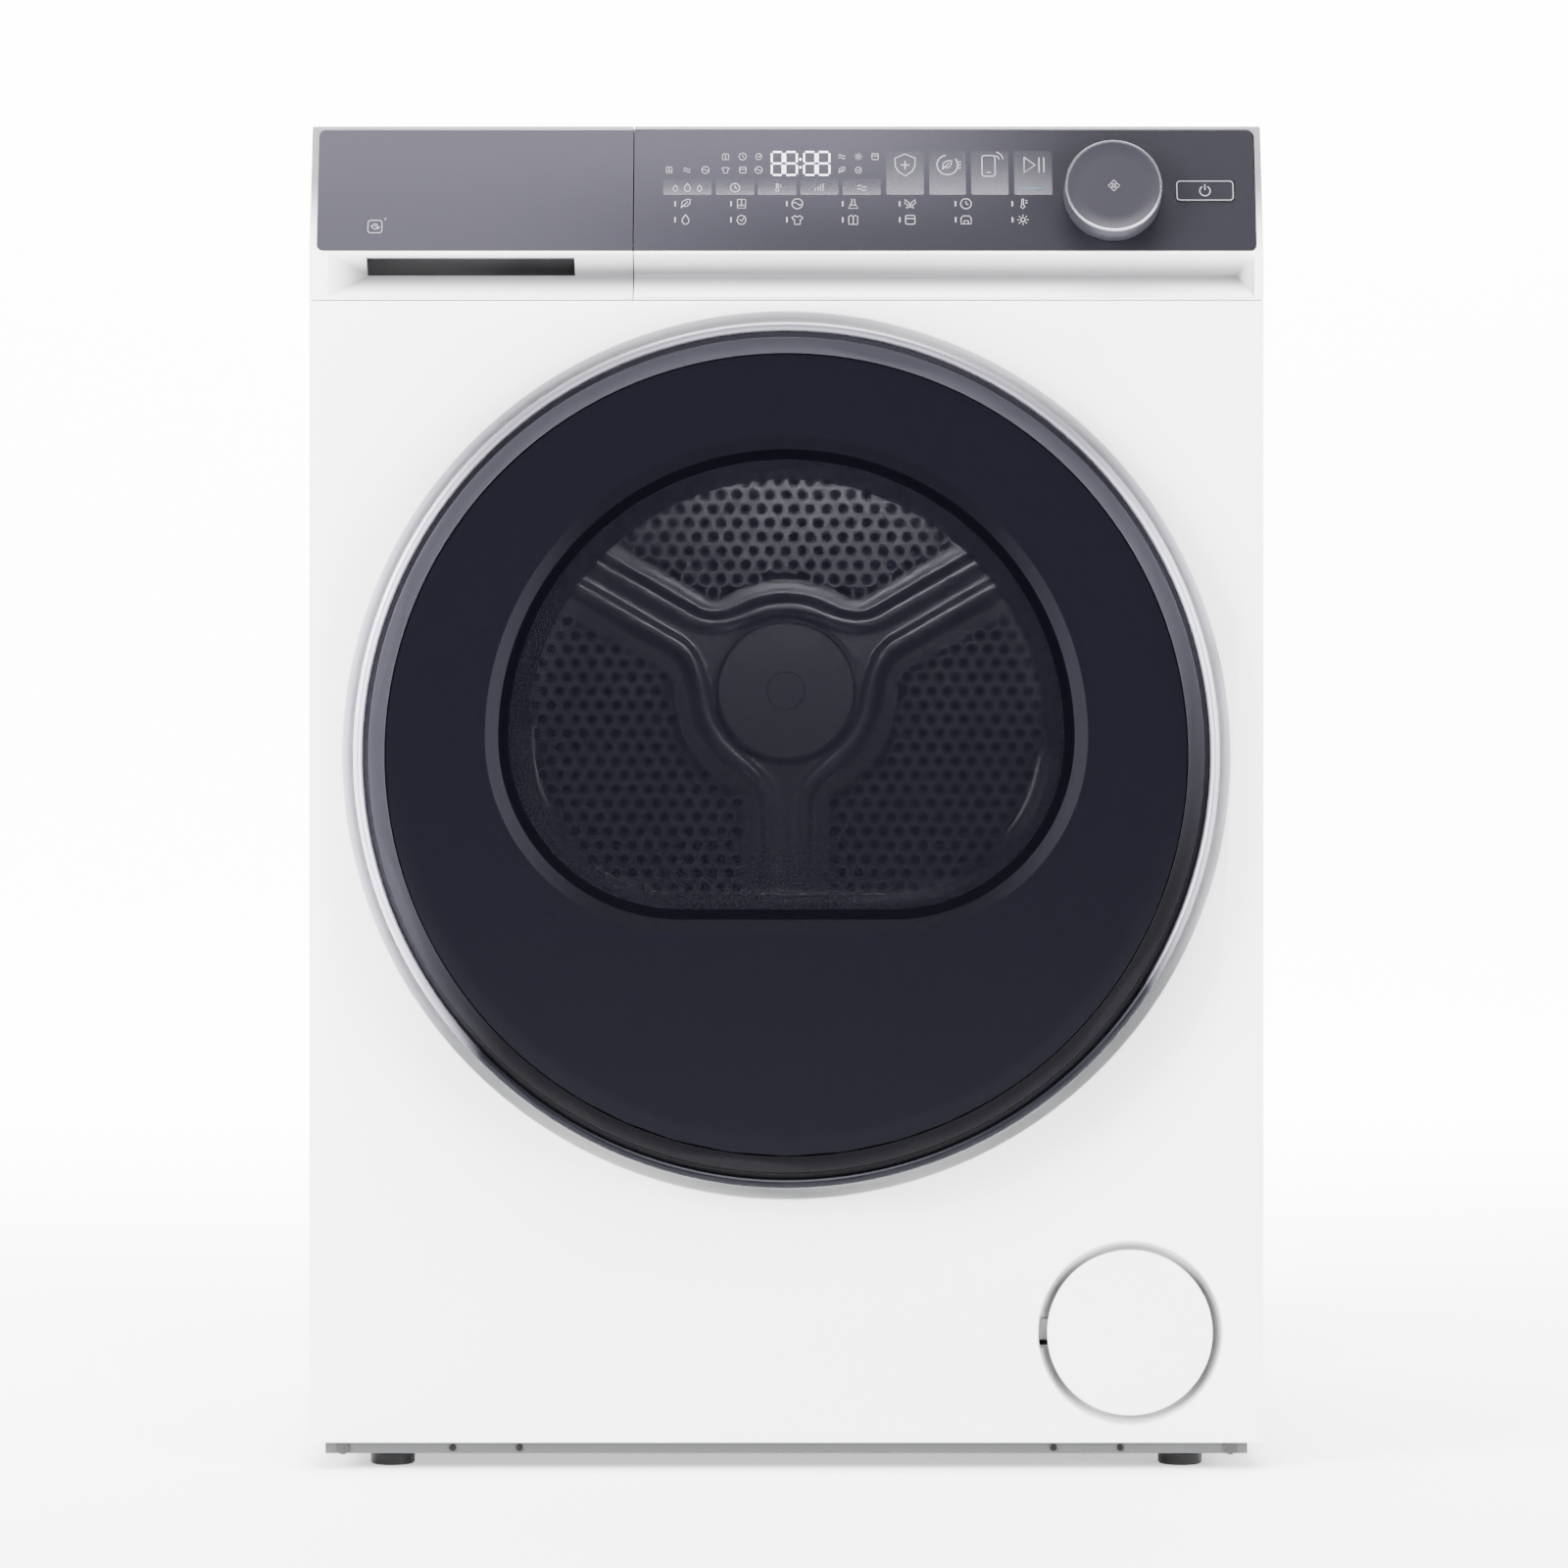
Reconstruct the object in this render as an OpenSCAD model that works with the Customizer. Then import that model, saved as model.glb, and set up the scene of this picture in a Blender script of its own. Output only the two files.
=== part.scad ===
// Front-loading clothes dryer with a heat pump, as an assembly of separate parts.
// Millimetres. +Z is up and the front faces -Y. The origin is on the floor, under the middle.

/* [Overall size] */
// Width across the two side panels
width = 600; // [560:1:760]
// Height from the floor to the top of the cabinet
height = 848; // [800:1:1020]
// Depth from the door face to the back of the rear duct cover
depth = 650; // [600:1:800]
// How far the door face stands ahead of the front panel
door_proud = 30; // [28:1:36]
// How far the rear duct cover stands behind the rear panel
duct_proud = 20; // [14:1:40]

/* [Cabinet] */
// Thickness of the cabinet sheet steel
sheet = 1; // [0.6:0.1:1.5]
// Height of the underside of the cabinet above the floor
skirt_z = 17; // [14:1:30]
// Height of the console band at the top of the front
console_h = 113; // [104:1:130]
// Angle by which the control panel leans back
lean = 15; // [5:1:25]
// X of the gap between the tank drawer and the control panel
split_x = -96.4; // [-140:1:-60]
// Half of the gap between two parts that move past each other
half_gap = 0.3; // [0.2:0.1:1]

/* [Door] */
// Height of the middle of the door above the floor
door_z = 449; // [430:1:470]
// Outer radius of the door
door_r = 270; // [262:1:274]
// Radius of the flat dark glass
glass_r = 250; // [240:1:252]
// Radius of the round top of the window bowl
bowl_r = 186; // [170:1:190]
// Radius of the two lower corners of the window bowl
bowl_corner = 120; // [90:1:140]
// Height of the widest line of the window bowl above the floor
bowl_z = 460; // [440:1:470]
// X of the door hinge axis
hinge_x = 250; // [244:1:252]
// Distance of the hinge axis behind the door face
hinge_back = 17; // [16:1:19]
// Radius of the door hinge pin
pin_r = 3; // [2:0.1:3.6]
// Radial clearance of a pin or shaft in its bore
run_fit = 0.08; // [0.03:0.01:0.1]

/* [Controls] */
// X of the dial axis
dial_x = 205.4; // [190:1:215]
// Radius of the dial
dial_r = 30.8; // [24:0.1:33]
// How far the dial stands out of the control panel
dial_h = 18; // [12:1:22]
// X of the middle of the power button
power_x = 264; // [258:1:268]

/* [Filter flap] */
// X of the middle of the round filter flap
flap_x = 216; // [205:1:222]
// Height of the middle of the filter flap above the floor
flap_z = 86; // [80:1:95]
// Radius of the filter flap
flap_r = 52; // [44:1:54]

/* [Drum and drive] */
// Outer radius of the drum
drum_r = 280; // [270:1:282]
// Height of the drum axis above the floor
drum_z = 500; // [496:1:510]
// Radius of the two front support rollers
roller_r = 18; // [14:1:22]
// Radius of the belt groove of the motor pulley
pulley_r = 8; // [6:1:12]
// X of the motor shaft
motor_x = 30; // [20:1:36]
// Height of the motor shaft above the floor
motor_z = 105; // [100:1:110]
// Radius of the belt tensioner wheel
idler_r = 20; // [14:1:24]
// Width of the drive belt
belt_w = 9; // [6:1:12]

/* [Feet] */
// Distance of each foot from the side of the cabinet
foot_in = 50; // [40:1:80]
// Radius of a foot pad
foot_r = 14; // [12:1:20]
// Radius of a foot stud
stud_r = 5; // [4:0.5:6]

/* [Hidden] */
$fn = 96;
wx = width / 2;
yd = -depth / 2;
yf = yd + door_proud;
yr = depth / 2 - duct_proud;
zc = height - console_h;
yb = yf + 51;
yw = yb + 3.2;
ydish = yf + 23;
dish_r = door_r + 9;
mouth_r = drum_r - 44.5;
drum_y0 = yf + 90;
drum_y1 = yr - 54;
belt_y = yr - 155;
hy = yd + hinge_back;
pan_x = wx - 4.7;
tank_x0 = -wx + 12;
tank_x1 = split_x - 13.6;
tank_z0 = height - 71;
tank_z1 = height - 29;
face_y = yf + 1.2;
face_z = zc + 31;
face_h = console_h - 34;
face_l = face_h / cos(lean);
mid_z = 37;
key_z = 40.4;
fl_ax = flap_x - flap_r - 14;
fl_ay = yf + 10;
boss_r = stud_r + 10;
foot_x = wx - foot_in;
foot_yf = yf + 33;
foot_yr = yr - 43;
cov_x0 = wx - 182;
cov_x1 = wx - 13;
roll_a = 30;
roll_d = drum_r + half_gap + roller_r;
roll_x = roll_d * sin(roll_a);
roll_z = drum_z - roll_d * cos(roll_a);
// straight runs of the belt between the motor pulley and the drum
span = sqrt(pow(motor_x, 2) + pow(drum_z - motor_z, 2));
span_a = atan2(drum_z - motor_z, -motor_x);
span_h = asin((drum_r - pulley_r) / span);
run_a = span_a + span_h;
idler_d = 95;
idler_off = idler_r + half_gap + 2.3;
idler_x = motor_x + pulley_r * cos(run_a + 90) + idler_d * cos(run_a) + idler_off * cos(run_a + 90);
idler_z = motor_z + pulley_r * sin(run_a + 90) + idler_d * sin(run_a) + idler_off * sin(run_a + 90);

// ---- shape helpers ----
module bx(x0, x1, y0, y1, z0, z1)
  translate([x0, y0, z0])
    cube([x1 - x0, y1 - y0, z1 - z0]);

module yext(y0, y1)
  translate([0, y1, 0])
    rotate([90, 0, 0])
      linear_extrude(y1 - y0)
        children();

module xext(x0, x1)
  translate([x0, 0, 0])
    rotate([90, 0, 90])
      linear_extrude(x1 - x0)
        children();

module ycyl(x, z, y0, y1, r)
  translate([x, y0, z])
    rotate([-90, 0, 0])
      cylinder(r = r, h = y1 - y0);

module yring(x, z, y0, y1, ro, ri)
  difference() {
    ycyl(x, z, y0, y1, ro);
    ycyl(x, z, y0 - 1, y1 + 1, ri);
  }

module yrev(x, z, y0)
  translate([x, y0, z])
    rotate([-90, 0, 0])
      rotate_extrude()
        children();

module zcyl(x, y, z0, z1, r)
  translate([x, y, z0])
    cylinder(r = r, h = z1 - z0);

// a tube between two points of an axis-parallel run, with a fitting at each bend
module run(pts, r, bend) {
  for (i = [0 : len(pts) - 2]) {
    let (a = pts[i], b = pts[i + 1], d = b - a, l = norm(d))
      translate(a)
        rotate([0, acos(d[2] / l), atan2(d[1], d[0])])
          cylinder(r = r, h = l);
  }
  for (i = [1 : len(pts) - 2])
    translate(pts[i])
      sphere(r = bend);
}

function arc(cx, cy, r, a0, a1, n, i0, i1) =
  [for (i = [i0 : i1]) [cx + r * cos(a0 + (a1 - a0) * i / n), cy + r * sin(a0 + (a1 - a0) * i / n)]];

// outline of the window: a half circle over two smaller corners and a flat bottom, grown by g
function d_pts(g) = concat(
  arc(0, bowl_z, bowl_r + g, 0, 180, 24, 0, 24),
  arc(bowl_corner - bowl_r, bowl_z, bowl_corner + g, 180, 270, 9, 1, 9),
  arc(bowl_r - bowl_corner, bowl_z, bowl_corner + g, 270, 360, 9, 0, 8)
);

module d_hole(g, y0, y1)
  yext(y0, y1)
    polygon(d_pts(g));

module d_ring(g0, g1, y0, y1)
  yext(y0, y1)
    difference() {
      polygon(d_pts(g1));
      polygon(d_pts(g0));
    }

function rr_pts(x0, x1, z0, z1, r0, r1) = concat(
  arc(x1 - r1, z1 - r1, r1, 0, 90, 4, 0, 4),
  arc(x0 + r0, z1 - r0, r0, 90, 180, 4, 0, 4),
  arc(x0 + r0, z0 + r0, r0, 180, 270, 4, 0, 4),
  arc(x1 - r1, z0 + r1, r1, 270, 360, 4, 0, 4)
);

// local frame of the leaning control panel: X along it, -Y out of it, Z up its slope
module on_face(x = 0, z = 0)
  translate([0, face_y, face_z])
    rotate([-lean, 0, 0])
      translate([x, 0, z])
        children();

// ---- cabinet ----
module base_tray() color([0.82, 0.83, 0.84])
  difference() {
    union() {
      bx(-wx + 1.5, wx - 1.5, yf + 1.3, yr - 1.3, skirt_z + 0.2, skirt_z + 45);
      bx(-wx + 10, wx - 10, yf + 3, yr - 3, skirt_z - 7, skirt_z + 1);
    }
    difference() {
      bx(-wx + 4.5, wx - 4.5, yf + 4.3, yr - 4.3, skirt_z + 3.4, skirt_z + 46);
      for (x = [-foot_x, foot_x], y = [foot_yf, foot_yr])
        zcyl(x, y, skirt_z, skirt_z + 32, boss_r);
    }
    bx(-wx + 16, wx - 16, yf + 9, yr - 9, skirt_z - 8, skirt_z + 0.4);
    for (x = [-foot_x, foot_x], y = [foot_yf, foot_yr])
      zcyl(x, y, skirt_z - 10, skirt_z + 50, stud_r + run_fit);
    for (x = [-foot_x, foot_x], y = [foot_yf, foot_yr])
      zcyl(x, y, skirt_z - 10, skirt_z + 1, foot_r + 2);
    for (x = [-0.7 * wx, -0.56 * wx, 0.56 * wx, 0.7 * wx])
      ycyl(x, skirt_z - 3.4, yf - 1, yf + 14, 2.2);
    bx(flap_x - 64, flap_x + 64, yf, yf + 6, flap_z - 66, skirt_z + 50);
  }

module side_panel(s)
  difference() {
    union() {
      bx(wx - sheet, wx, yf + 18.4, yr, skirt_z, height - 22.4);
      bx(wx - sheet - 1.3, wx - sheet - 0.1, yf + 5, yf + 40, skirt_z + 52, zc - 14);
      bx(wx - sheet - 1.3, wx - sheet + 0.2, yf + 19, yf + 40, skirt_z + 52, zc - 14);
      bx(wx - 16, wx, yr - sheet, yr, skirt_z, height - 22.4);
      bx(wx - 18, wx, yf + 60, yr, height - 22.4 - sheet, height - 22.4);
    }
    bx(wx - 30, wx + 1, yf - 1, yw + 0.3, zc - 0.4, height);
    for (k = [0 : 4])
      bx(wx - 12, wx - 6, yr - 3, yr + 1, 120 + k * (height - 245) / 4, 126 + k * (height - 245) / 4);
  }

module left_side_panel() color([0.94, 0.95, 0.96])
  mirror([1, 0, 0])
    side_panel(1);

module right_side_panel() color([0.94, 0.95, 0.96])
  side_panel(1);

module rear_panel() color([0.78, 0.79, 0.80])
  difference() {
    union() {
      bx(-wx + 16.4, wx - 16.4, yr - sheet, yr, skirt_z + 0.3, height - 22.8);
      bx(-wx + 16.4, wx - 16.4, yr - 14, yr, height - 36, height - 35);
    }
    for (a = [0 : 15 : 345])
      translate([0, 0, drum_z])
        rotate([0, a, 0])
          bx(-9, 9, yr - 5, yr + 5, 100, 196);
    ycyl(0, drum_z, yr - 5, yr + 5, 14);
    bx(motor_x + 18, motor_x + 90, yr - 20, yr + 5, motor_z + 50, motor_z + 100);
    for (k = [0 : 9])
      bx(-wx + 60, -wx + 150, yr - 3, yr + 5, 70 + 14 * k, 75 + 14 * k);
    ycyl(-wx + 70, height - 90, yr - 3, yr + 5, 9.1);
    ycyl(wx - 60, 60 + skirt_z, yr - 3, yr + 5, 8);
    for (k = [0 : 9])
      bx(wx - 140, wx - 70, yr - 3, yr + 5, 110 + 12 * k, 114 + 12 * k);
  }

module front_panel() color([0.95, 0.96, 0.97])
  difference() {
    union() {
      difference() {
        yext(yf, yf + 18)
          polygon(rr_pts(-wx, wx, skirt_z, zc - 0.3, 0.8, 0.8));
        yext(yf + sheet, yf + 19)
          polygon(rr_pts(-wx + sheet, wx - sheet, skirt_z - 5, zc - 0.3 - sheet, 0.5, 0.5));
        ycyl(0, door_z, yf - 1, yf + 2, dish_r);
        ycyl(flap_x, flap_z, yf - 1, yf + 2, flap_r + 6);
      }
      yrev(0, door_z, yf)
        polygon([[dish_r, 0], [dish_r + sheet, 0], [dish_r - 6, 23], [dish_r - 6, 24], [90, 24], [90, 23], [dish_r - 7, 23]]);
      yrev(flap_x, flap_z, yf)
        polygon([[flap_r + 6, 0], [flap_r + 7, 0], [flap_r + 2, 8], [flap_r + 2, 9], [flap_r - 2, 9], [flap_r - 2, 8],
          [flap_r + 1, 8]]);
    }
    d_hole(9, ydish - 2, ydish + 4);
    bx(12 - door_r, 33 - door_r, ydish - 3, ydish + 4, door_z - 10, door_z + 10);
    for (s = [-1, 1])
      bx(hinge_x - 32, hinge_x - 17, ydish - 3, ydish + 4, door_z + s * 60 - 7.5, door_z + s * 60 + 7.5);
    bx(fl_ax + 5, fl_ax + 18, yf + 1.1, yf + 12, flap_z - 9, flap_z + 9);
  }

module top_panel() color([0.95, 0.96, 0.97])
  difference() {
    union() {
      yext(yw + 0.6, yr + 4)
        polygon(rr_pts(-wx, wx, height - 22, height, 3, 3));
    }
    bx(-wx + 2, wx - 2, yw + 2.6, yr + 2, height - 23, height - 2);
  }

// outline of the console in Y and Z, without the finger recess
module console_2d()
  polygon([[yf, zc + 0.3], [yf, zc + 28], [face_y, face_z], [face_y + face_l * sin(lean), face_z + face_h],
    [face_y + face_l * sin(lean) + 1, height - 1.2], [face_y + face_l * sin(lean) + 4, height],
    [yb, height], [yb, zc + 0.3]]);

// the finger hollow under the control panel: a V-shaped groove with slanted ends
module recess()
  hull() {
    xext(-wx + 12, wx - 6)
      polygon([[yf - 2, zc + 2], [yf + 0.05, zc + 2], [yf + 0.05, zc + 29], [yf - 2, zc + 29]]);
    xext(-wx + 35, wx - 15)
      polygon([[yf, zc + 2], [yf + 15, zc + 17], [yf + 13.6, zc + 18.4], [yf + 2, zc + 29], [yf, zc + 29]]);
  }

module hollow_2d()
  polygon([[yf + 18.5, zc + 3], [yf + 18.5, zc + 20], [yf + 8, zc + 34], [yf + 26.5, zc + 101],
    [yf + 31, height - 2.5], [yb + 1, height - 2.5], [yb + 1, zc + 3]]);

module console_frame() color([0.94, 0.95, 0.96])
  difference() {
    union() {
      difference() {
        xext(split_x + half_gap, wx)
          console_2d();
        recess();
        xext(split_x + 2.8, wx - 2.5)
          hollow_2d();
        on_face()
          yext(-1, 2.1)
            polygon(rr_pts(split_x - 5, pan_x + 0.1, 0.2, face_l - 0.1, 4, 4));
      }
      bx(-wx + 2.5, wx - 2.5, yb + 0.4, yw, zc + 1, height - 2.7);
      bx(split_x + 3, wx - 2, yb - 3, yb + 1, zc + 1, zc + 12);
    }
    bx(split_x + 8, wx - 10, yb - 3, yw + 1, zc + 12, height - 12);
    bx(tank_x0 - 3.6, tank_x1 + 3.6, yb - 1, yw + 1, tank_z0 - 3.6, tank_z1 + 3.6);
    on_face(dial_x, mid_z)
      ycyl(0, 0, -2, 30, 9);
    on_face(power_x, key_z)
      bx(-19, 19, -2, 30, -7.5, 7.5);
  }

module control_fascia() color([0.42, 0.42, 0.46])
  difference() {
    on_face()
      yext(-0.2, 2)
        polygon(rr_pts(split_x + half_gap, pan_x, 0.3, face_l - 0.2, 0.4, 4));
    on_face(dial_x, mid_z)
      ycyl(0, 0, -3, 3, 5);
    on_face(power_x, key_z)
      bx(-18.7, 18.7, -3, 3, -7.2, 7.2);
  }

module control_board() color([0.10, 0.35, 0.18])
  difference() {
    on_face() {
      bx(split_x + 30, wx - 24, 14, 15.6, 8, 68);
      bx(-30, 65, 9, 14, 20, 60);
      bx(dial_x - 12, dial_x + 12, 9, 14, mid_z - 12, mid_z + 12);
    }
    on_face(dial_x, mid_z)
      ycyl(0, 0, 0, 30, 5);
    on_face(power_x, key_z)
      bx(-15, 11, 12, 20, -6, 6);
  }

module drawer_housing() color([0.75, 0.77, 0.80])
  difference() {
    bx(tank_x0 - 3.5, tank_x1 + 3.5, yw + 0.3, yr - 65, tank_z0 - 3.5, tank_z1 + 3.5);
    bx(tank_x0 - 1.5, tank_x1 + 1.5, yw - 1, yr - 67, tank_z0 - 1.5, tank_z1 + 1.5);
    ycyl(tank_x0 + 60, tank_z0 + 30, yr - 70, yr - 60, 5.4);
  }

// ---- front bulkhead, felt and lint filter ----
module front_bulkhead() color([0.86, 0.87, 0.88])
  difference() {
    union() {
      bx(-wx + 15, wx - 15, ydish + 4.4, ydish + 7, 226, zc - 6);
      d_ring(9, 12, ydish + 1.2, drum_y0 - 17);
      yring(0, drum_z, drum_y0 - 20, drum_y0 - 17, mouth_r + 1, 100);
      yring(0, drum_z, drum_y0 - 20, drum_y0 - 8, mouth_r - 7, mouth_r - 10);
      bx(-92, 92, ydish + 6, drum_y0 - 17, 210, bowl_z - bowl_corner - 8);
      bx(80, cov_x0 + 80, ydish + 6, drum_y0 - 20, 210, 226);
      for (s = [-1, 1]) {
        ycyl(s * roll_x, roll_z, ydish + 5, drum_y0 + 4.4, 9);
        ycyl(s * roll_x, roll_z, ydish + 6, drum_y0 + 24, 4);
      }
    }
    d_hole(9, ydish, drum_y0);
    bx(-89, 89, ydish + 8.5, drum_y0 - 20.5, 212.5, bowl_z - bowl_corner + 20);
    bx(70, cov_x0 + 77.5, ydish + 8.5, drum_y0 - 22.5, 212.5, 223.5);
    bx(cov_x0 + 8, cov_x0 + 76, ydish + 10, drum_y0 - 24, 200, 216);
    bx(3 - door_r, 42 - door_r, ydish, ydish + 12, door_z - 16, door_z + 16);
    for (k = [-2 : 2])
      bx(k * 34 - 13, k * 34 + 13, drum_y0 - 25, drum_y0 - 10, 292, bowl_z - bowl_corner - 13);
  }

module front_felt_seal() color([0.30, 0.30, 0.32])
  yring(0, drum_z, drum_y0 - 16.9, drum_y0 - 10, mouth_r - 0.5, mouth_r - 6.95);

module lint_filter() color([0.55, 0.56, 0.60])
  difference() {
    union() {
      bx(-86, 86, ydish + 12, ydish + 16, 218, bowl_z - bowl_corner - 8);
      bx(-86, 86, ydish + 36, ydish + 40, 218, bowl_z - bowl_corner - 8);
      bx(-86, 86, ydish + 12, ydish + 40, 218, 221);
      bx(-88, 88, ydish + 10, ydish + 46, bowl_z - bowl_corner - 10.5, bowl_z - bowl_corner - 6);
      bx(-86, -83, ydish + 12, ydish + 40, 218, bowl_z - bowl_corner - 8);
      bx(83, 86, ydish + 12, ydish + 40, 218, bowl_z - bowl_corner - 8);
    }
    for (k = [-2 : 2])
      bx(k * 34 - 14, k * 34 + 14, ydish + 10, ydish + 42, 226, 268);
    for (k = [-2 : 2])
      bx(k * 34 - 14, k * 34 + 14, ydish + 10, ydish + 42, 274, bowl_z - bowl_corner - 18);
    bx(-80, 80, ydish + 20, ydish + 34, 240, bowl_z - bowl_corner);
  }

// ---- rear duct, bearing, drive ----
module rear_duct_cover() color([0.80, 0.81, 0.82])
  difference() {
    union() {
      yrev(0, drum_z, yr + 0.05)
        polygon([[0, 0], [239.5, 0], [239.5, 1.4], [230, 1.4], [222, duct_proud - 4], [214, duct_proud - 0.05],
          [0, duct_proud - 0.05]]);
      bx(motor_x - 2, motor_x + 108, yr + 0.05, yr + 1.45, motor_z + 30, drum_z - 150);
      bx(motor_x + 6, motor_x + 100, yr + 0.05, yr + duct_proud - 5, motor_z + 40, drum_z - 100);
    }
    yrev(0, drum_z, yr)
      polygon([[0, -1], [227.5, -1], [227.5, 0.5], [219.8, duct_proud - 5], [213, duct_proud - 1.8],
        [60, duct_proud - 1.8], [60, duct_proud - 5], [0, duct_proud - 5]]);
    bx(motor_x + 8, motor_x + 98, yr - 1, yr + duct_proud - 7, motor_z + 42, drum_z - 110);
    for (a = [30 : 60 : 330])
      translate([0, 0, drum_z])
        rotate([0, a, 0])
          ycyl(0, 235, yr - 1, yr + 4, 1.8);
  }

module drum_bearing() color([0.60, 0.61, 0.62])
  difference() {
    union() {
      ycyl(0, drum_z, yr - 4.5, yr - 1.1, 84);
      ycyl(0, drum_z, yr - 36, yr - 4, 26);
      for (a = [0 : 60 : 300])
        translate([0, 0, drum_z])
          rotate([0, a, 0])
            bx(-2, 2, yr - 26, yr - 4, 20, 78);
    }
    ycyl(0, drum_z, yr - 40, yr + 1, 12 + run_fit);
    for (a = [30 : 60 : 330])
      translate([0, 0, drum_z])
        rotate([0, a, 0])
          ycyl(0, 66, yr - 10, yr + 1, 8);
  }

module drive_motor() color([0.35, 0.36, 0.38])
  difference() {
    union() {
      ycyl(motor_x, motor_z, yr - 143, yr - 83, 58);
      bx(motor_x - 50, motor_x + 50, yr - 140, yr - 86, skirt_z + 3.6, skirt_z + 10);
      bx(motor_x - 40, motor_x + 40, yr - 136, yr - 128, skirt_z + 4, motor_z - 20);
      bx(motor_x - 40, motor_x + 40, yr - 98, yr - 90, skirt_z + 4, motor_z - 20);
    }
    ycyl(motor_x, motor_z, yr - 136, yr - 90, 32);
    ycyl(motor_x, motor_z, yr - 150, yr - 80, 5 + run_fit);
  }

module motor_rotor() color([0.62, 0.62, 0.64])
  union() {
    ycyl(motor_x, motor_z, belt_y - 10, yr - 9, 5);
    ycyl(motor_x, motor_z, yr - 133, yr - 93, 30.5);
    yrev(motor_x, motor_z, belt_y - 7)
      polygon([[4.5, 0], [pulley_r + 3, 0], [pulley_r + 3, 1.5], [pulley_r, 1.5], [pulley_r, 12.5],
        [pulley_r + 3, 12.5], [pulley_r + 3, 14], [4.5, 14]]);
  }

module fan_impeller() color([0.16, 0.16, 0.17])
  difference() {
    union() {
      ycyl(motor_x, motor_z, yr - 14, yr - 12, 74);
      yring(motor_x, motor_z, yr - 50, yr - 48, 74, 50);
      ycyl(motor_x, motor_z, yr - 50, yr - 12, 10);
      for (a = [0 : 24 : 336])
        translate([motor_x, 0, motor_z])
          rotate([0, a, 0])
            translate([0, 0, 60])
              rotate([0, 35, 0])
                bx(-1, 1, yr - 49, yr - 13, -11, 13);
    }
    ycyl(motor_x, motor_z, yr - 60, yr, 5);
  }

module fan_housing() color([0.24, 0.25, 0.27])
  difference() {
    union() {
      ycyl(motor_x, motor_z, yr - 62, yr - 4.6, 84);
      bx(motor_x + 10, motor_x + 98, yr - 62, yr - 1.3, motor_z, 212);
      bx(motor_x - 50, cov_x1 - 1, yr - 80, yr - 62, 30, 170);
      bx(cov_x0 + 8, cov_x1 - 1, yr - 170, yr - 62, 30, 160);
    }
    ycyl(motor_x, motor_z, yr - 59.5, yr - 7.1, 81.5);
    bx(motor_x + 12.5, motor_x + 95.5, yr - 59.5, yr - 3.8, motor_z, 209.5);
    bx(motor_x - 47.5, cov_x1 - 3.5, yr - 77.5, yr - 64.5, 32.5, 167.5);
    bx(cov_x0 + 10.5, cov_x1 - 3.5, yr - 171, yr - 70, 32.5, 157.5);
    ycyl(motor_x, motor_z, yr - 66, yr - 58, 48);
    ycyl(motor_x, motor_z, yr - 84, yr - 70, 8);
    bx(motor_x + 20, motor_x + 88, yr - 6, yr, motor_z + 52, motor_z + 98);
  }

// outline of the belt, g outside the drum and the pulley
module belt_2d(g) {
  k = 1 / cos(2.5);
  n1 = ceil((180 + 2 * span_h) / 5);
  n2 = ceil((180 - 2 * span_h) / 15);
  a0 = run_a + 90;
  polygon(concat(
    [for (i = [0 : n1]) let (a = a0 - (180 + 2 * span_h) * i / n1)
      [(drum_r + g) * (i == 0 || i == n1 ? 1 : k) * cos(a), drum_z + (drum_r + g) * (i == 0 || i == n1 ? 1 : k) * sin(a)]],
    [for (i = [0 : n2]) let (a = a0 - 180 - 2 * span_h - (180 - 2 * span_h) * i / n2, q = i == 0 || i == n2 ? 1 : 1.01)
      [motor_x + (pulley_r + g) * q * cos(a), motor_z + (pulley_r + g) * q * sin(a)]]
  ));
}

module drive_belt() color([0.07, 0.07, 0.08])
  yext(belt_y - belt_w / 2, belt_y + belt_w / 2)
    difference() {
      belt_2d(half_gap + 2);
      belt_2d(half_gap);
    }

module idler_bracket() color([0.55, 0.56, 0.58])
  union() {
    bx(idler_x - 11, idler_x + 11, belt_y - 17, belt_y - 13, skirt_z + 4, idler_z + 12);
    bx(idler_x - 22, idler_x + 22, belt_y - 30, belt_y - 13, skirt_z + 3.6, skirt_z + 7);
    ycyl(idler_x, idler_z, belt_y - 14, belt_y + 9, 4);
  }

module idler_pulley() color([0.12, 0.12, 0.13])
  difference() {
    yrev(idler_x, idler_z, belt_y - 8)
      polygon([[0, 0], [idler_r, 0], [idler_r, 16], [0, 16]]);
    ycyl(idler_x, idler_z, belt_y - 20, belt_y + 20, 4 + run_fit);
    yring(idler_x, idler_z, belt_y - 9, belt_y - 5, idler_r - 4, 8);
    yring(idler_x, idler_z, belt_y + 5, belt_y + 9, idler_r - 4, 8);
  }

// ---- heat pump ----
module compressor() color([0.09, 0.09, 0.10])
  translate([-wx + 130, yr - 205, 0])
    union() {
      rotate_extrude()
        polygon([[0, 34], [46, 34], [55, 40], [58, 50], [58, 152], [54, 166], [42, 177], [20, 183], [0, 184]]);
      translate([0, 0, skirt_z + 3.6])
        cylinder(r = 74, h = 14, $fn = 3);
      translate([74, 0, 60])
        cylinder(r = 15, h = 90);
      translate([50, -4, 80])
        cube([14, 8, 40]);
    }

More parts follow.
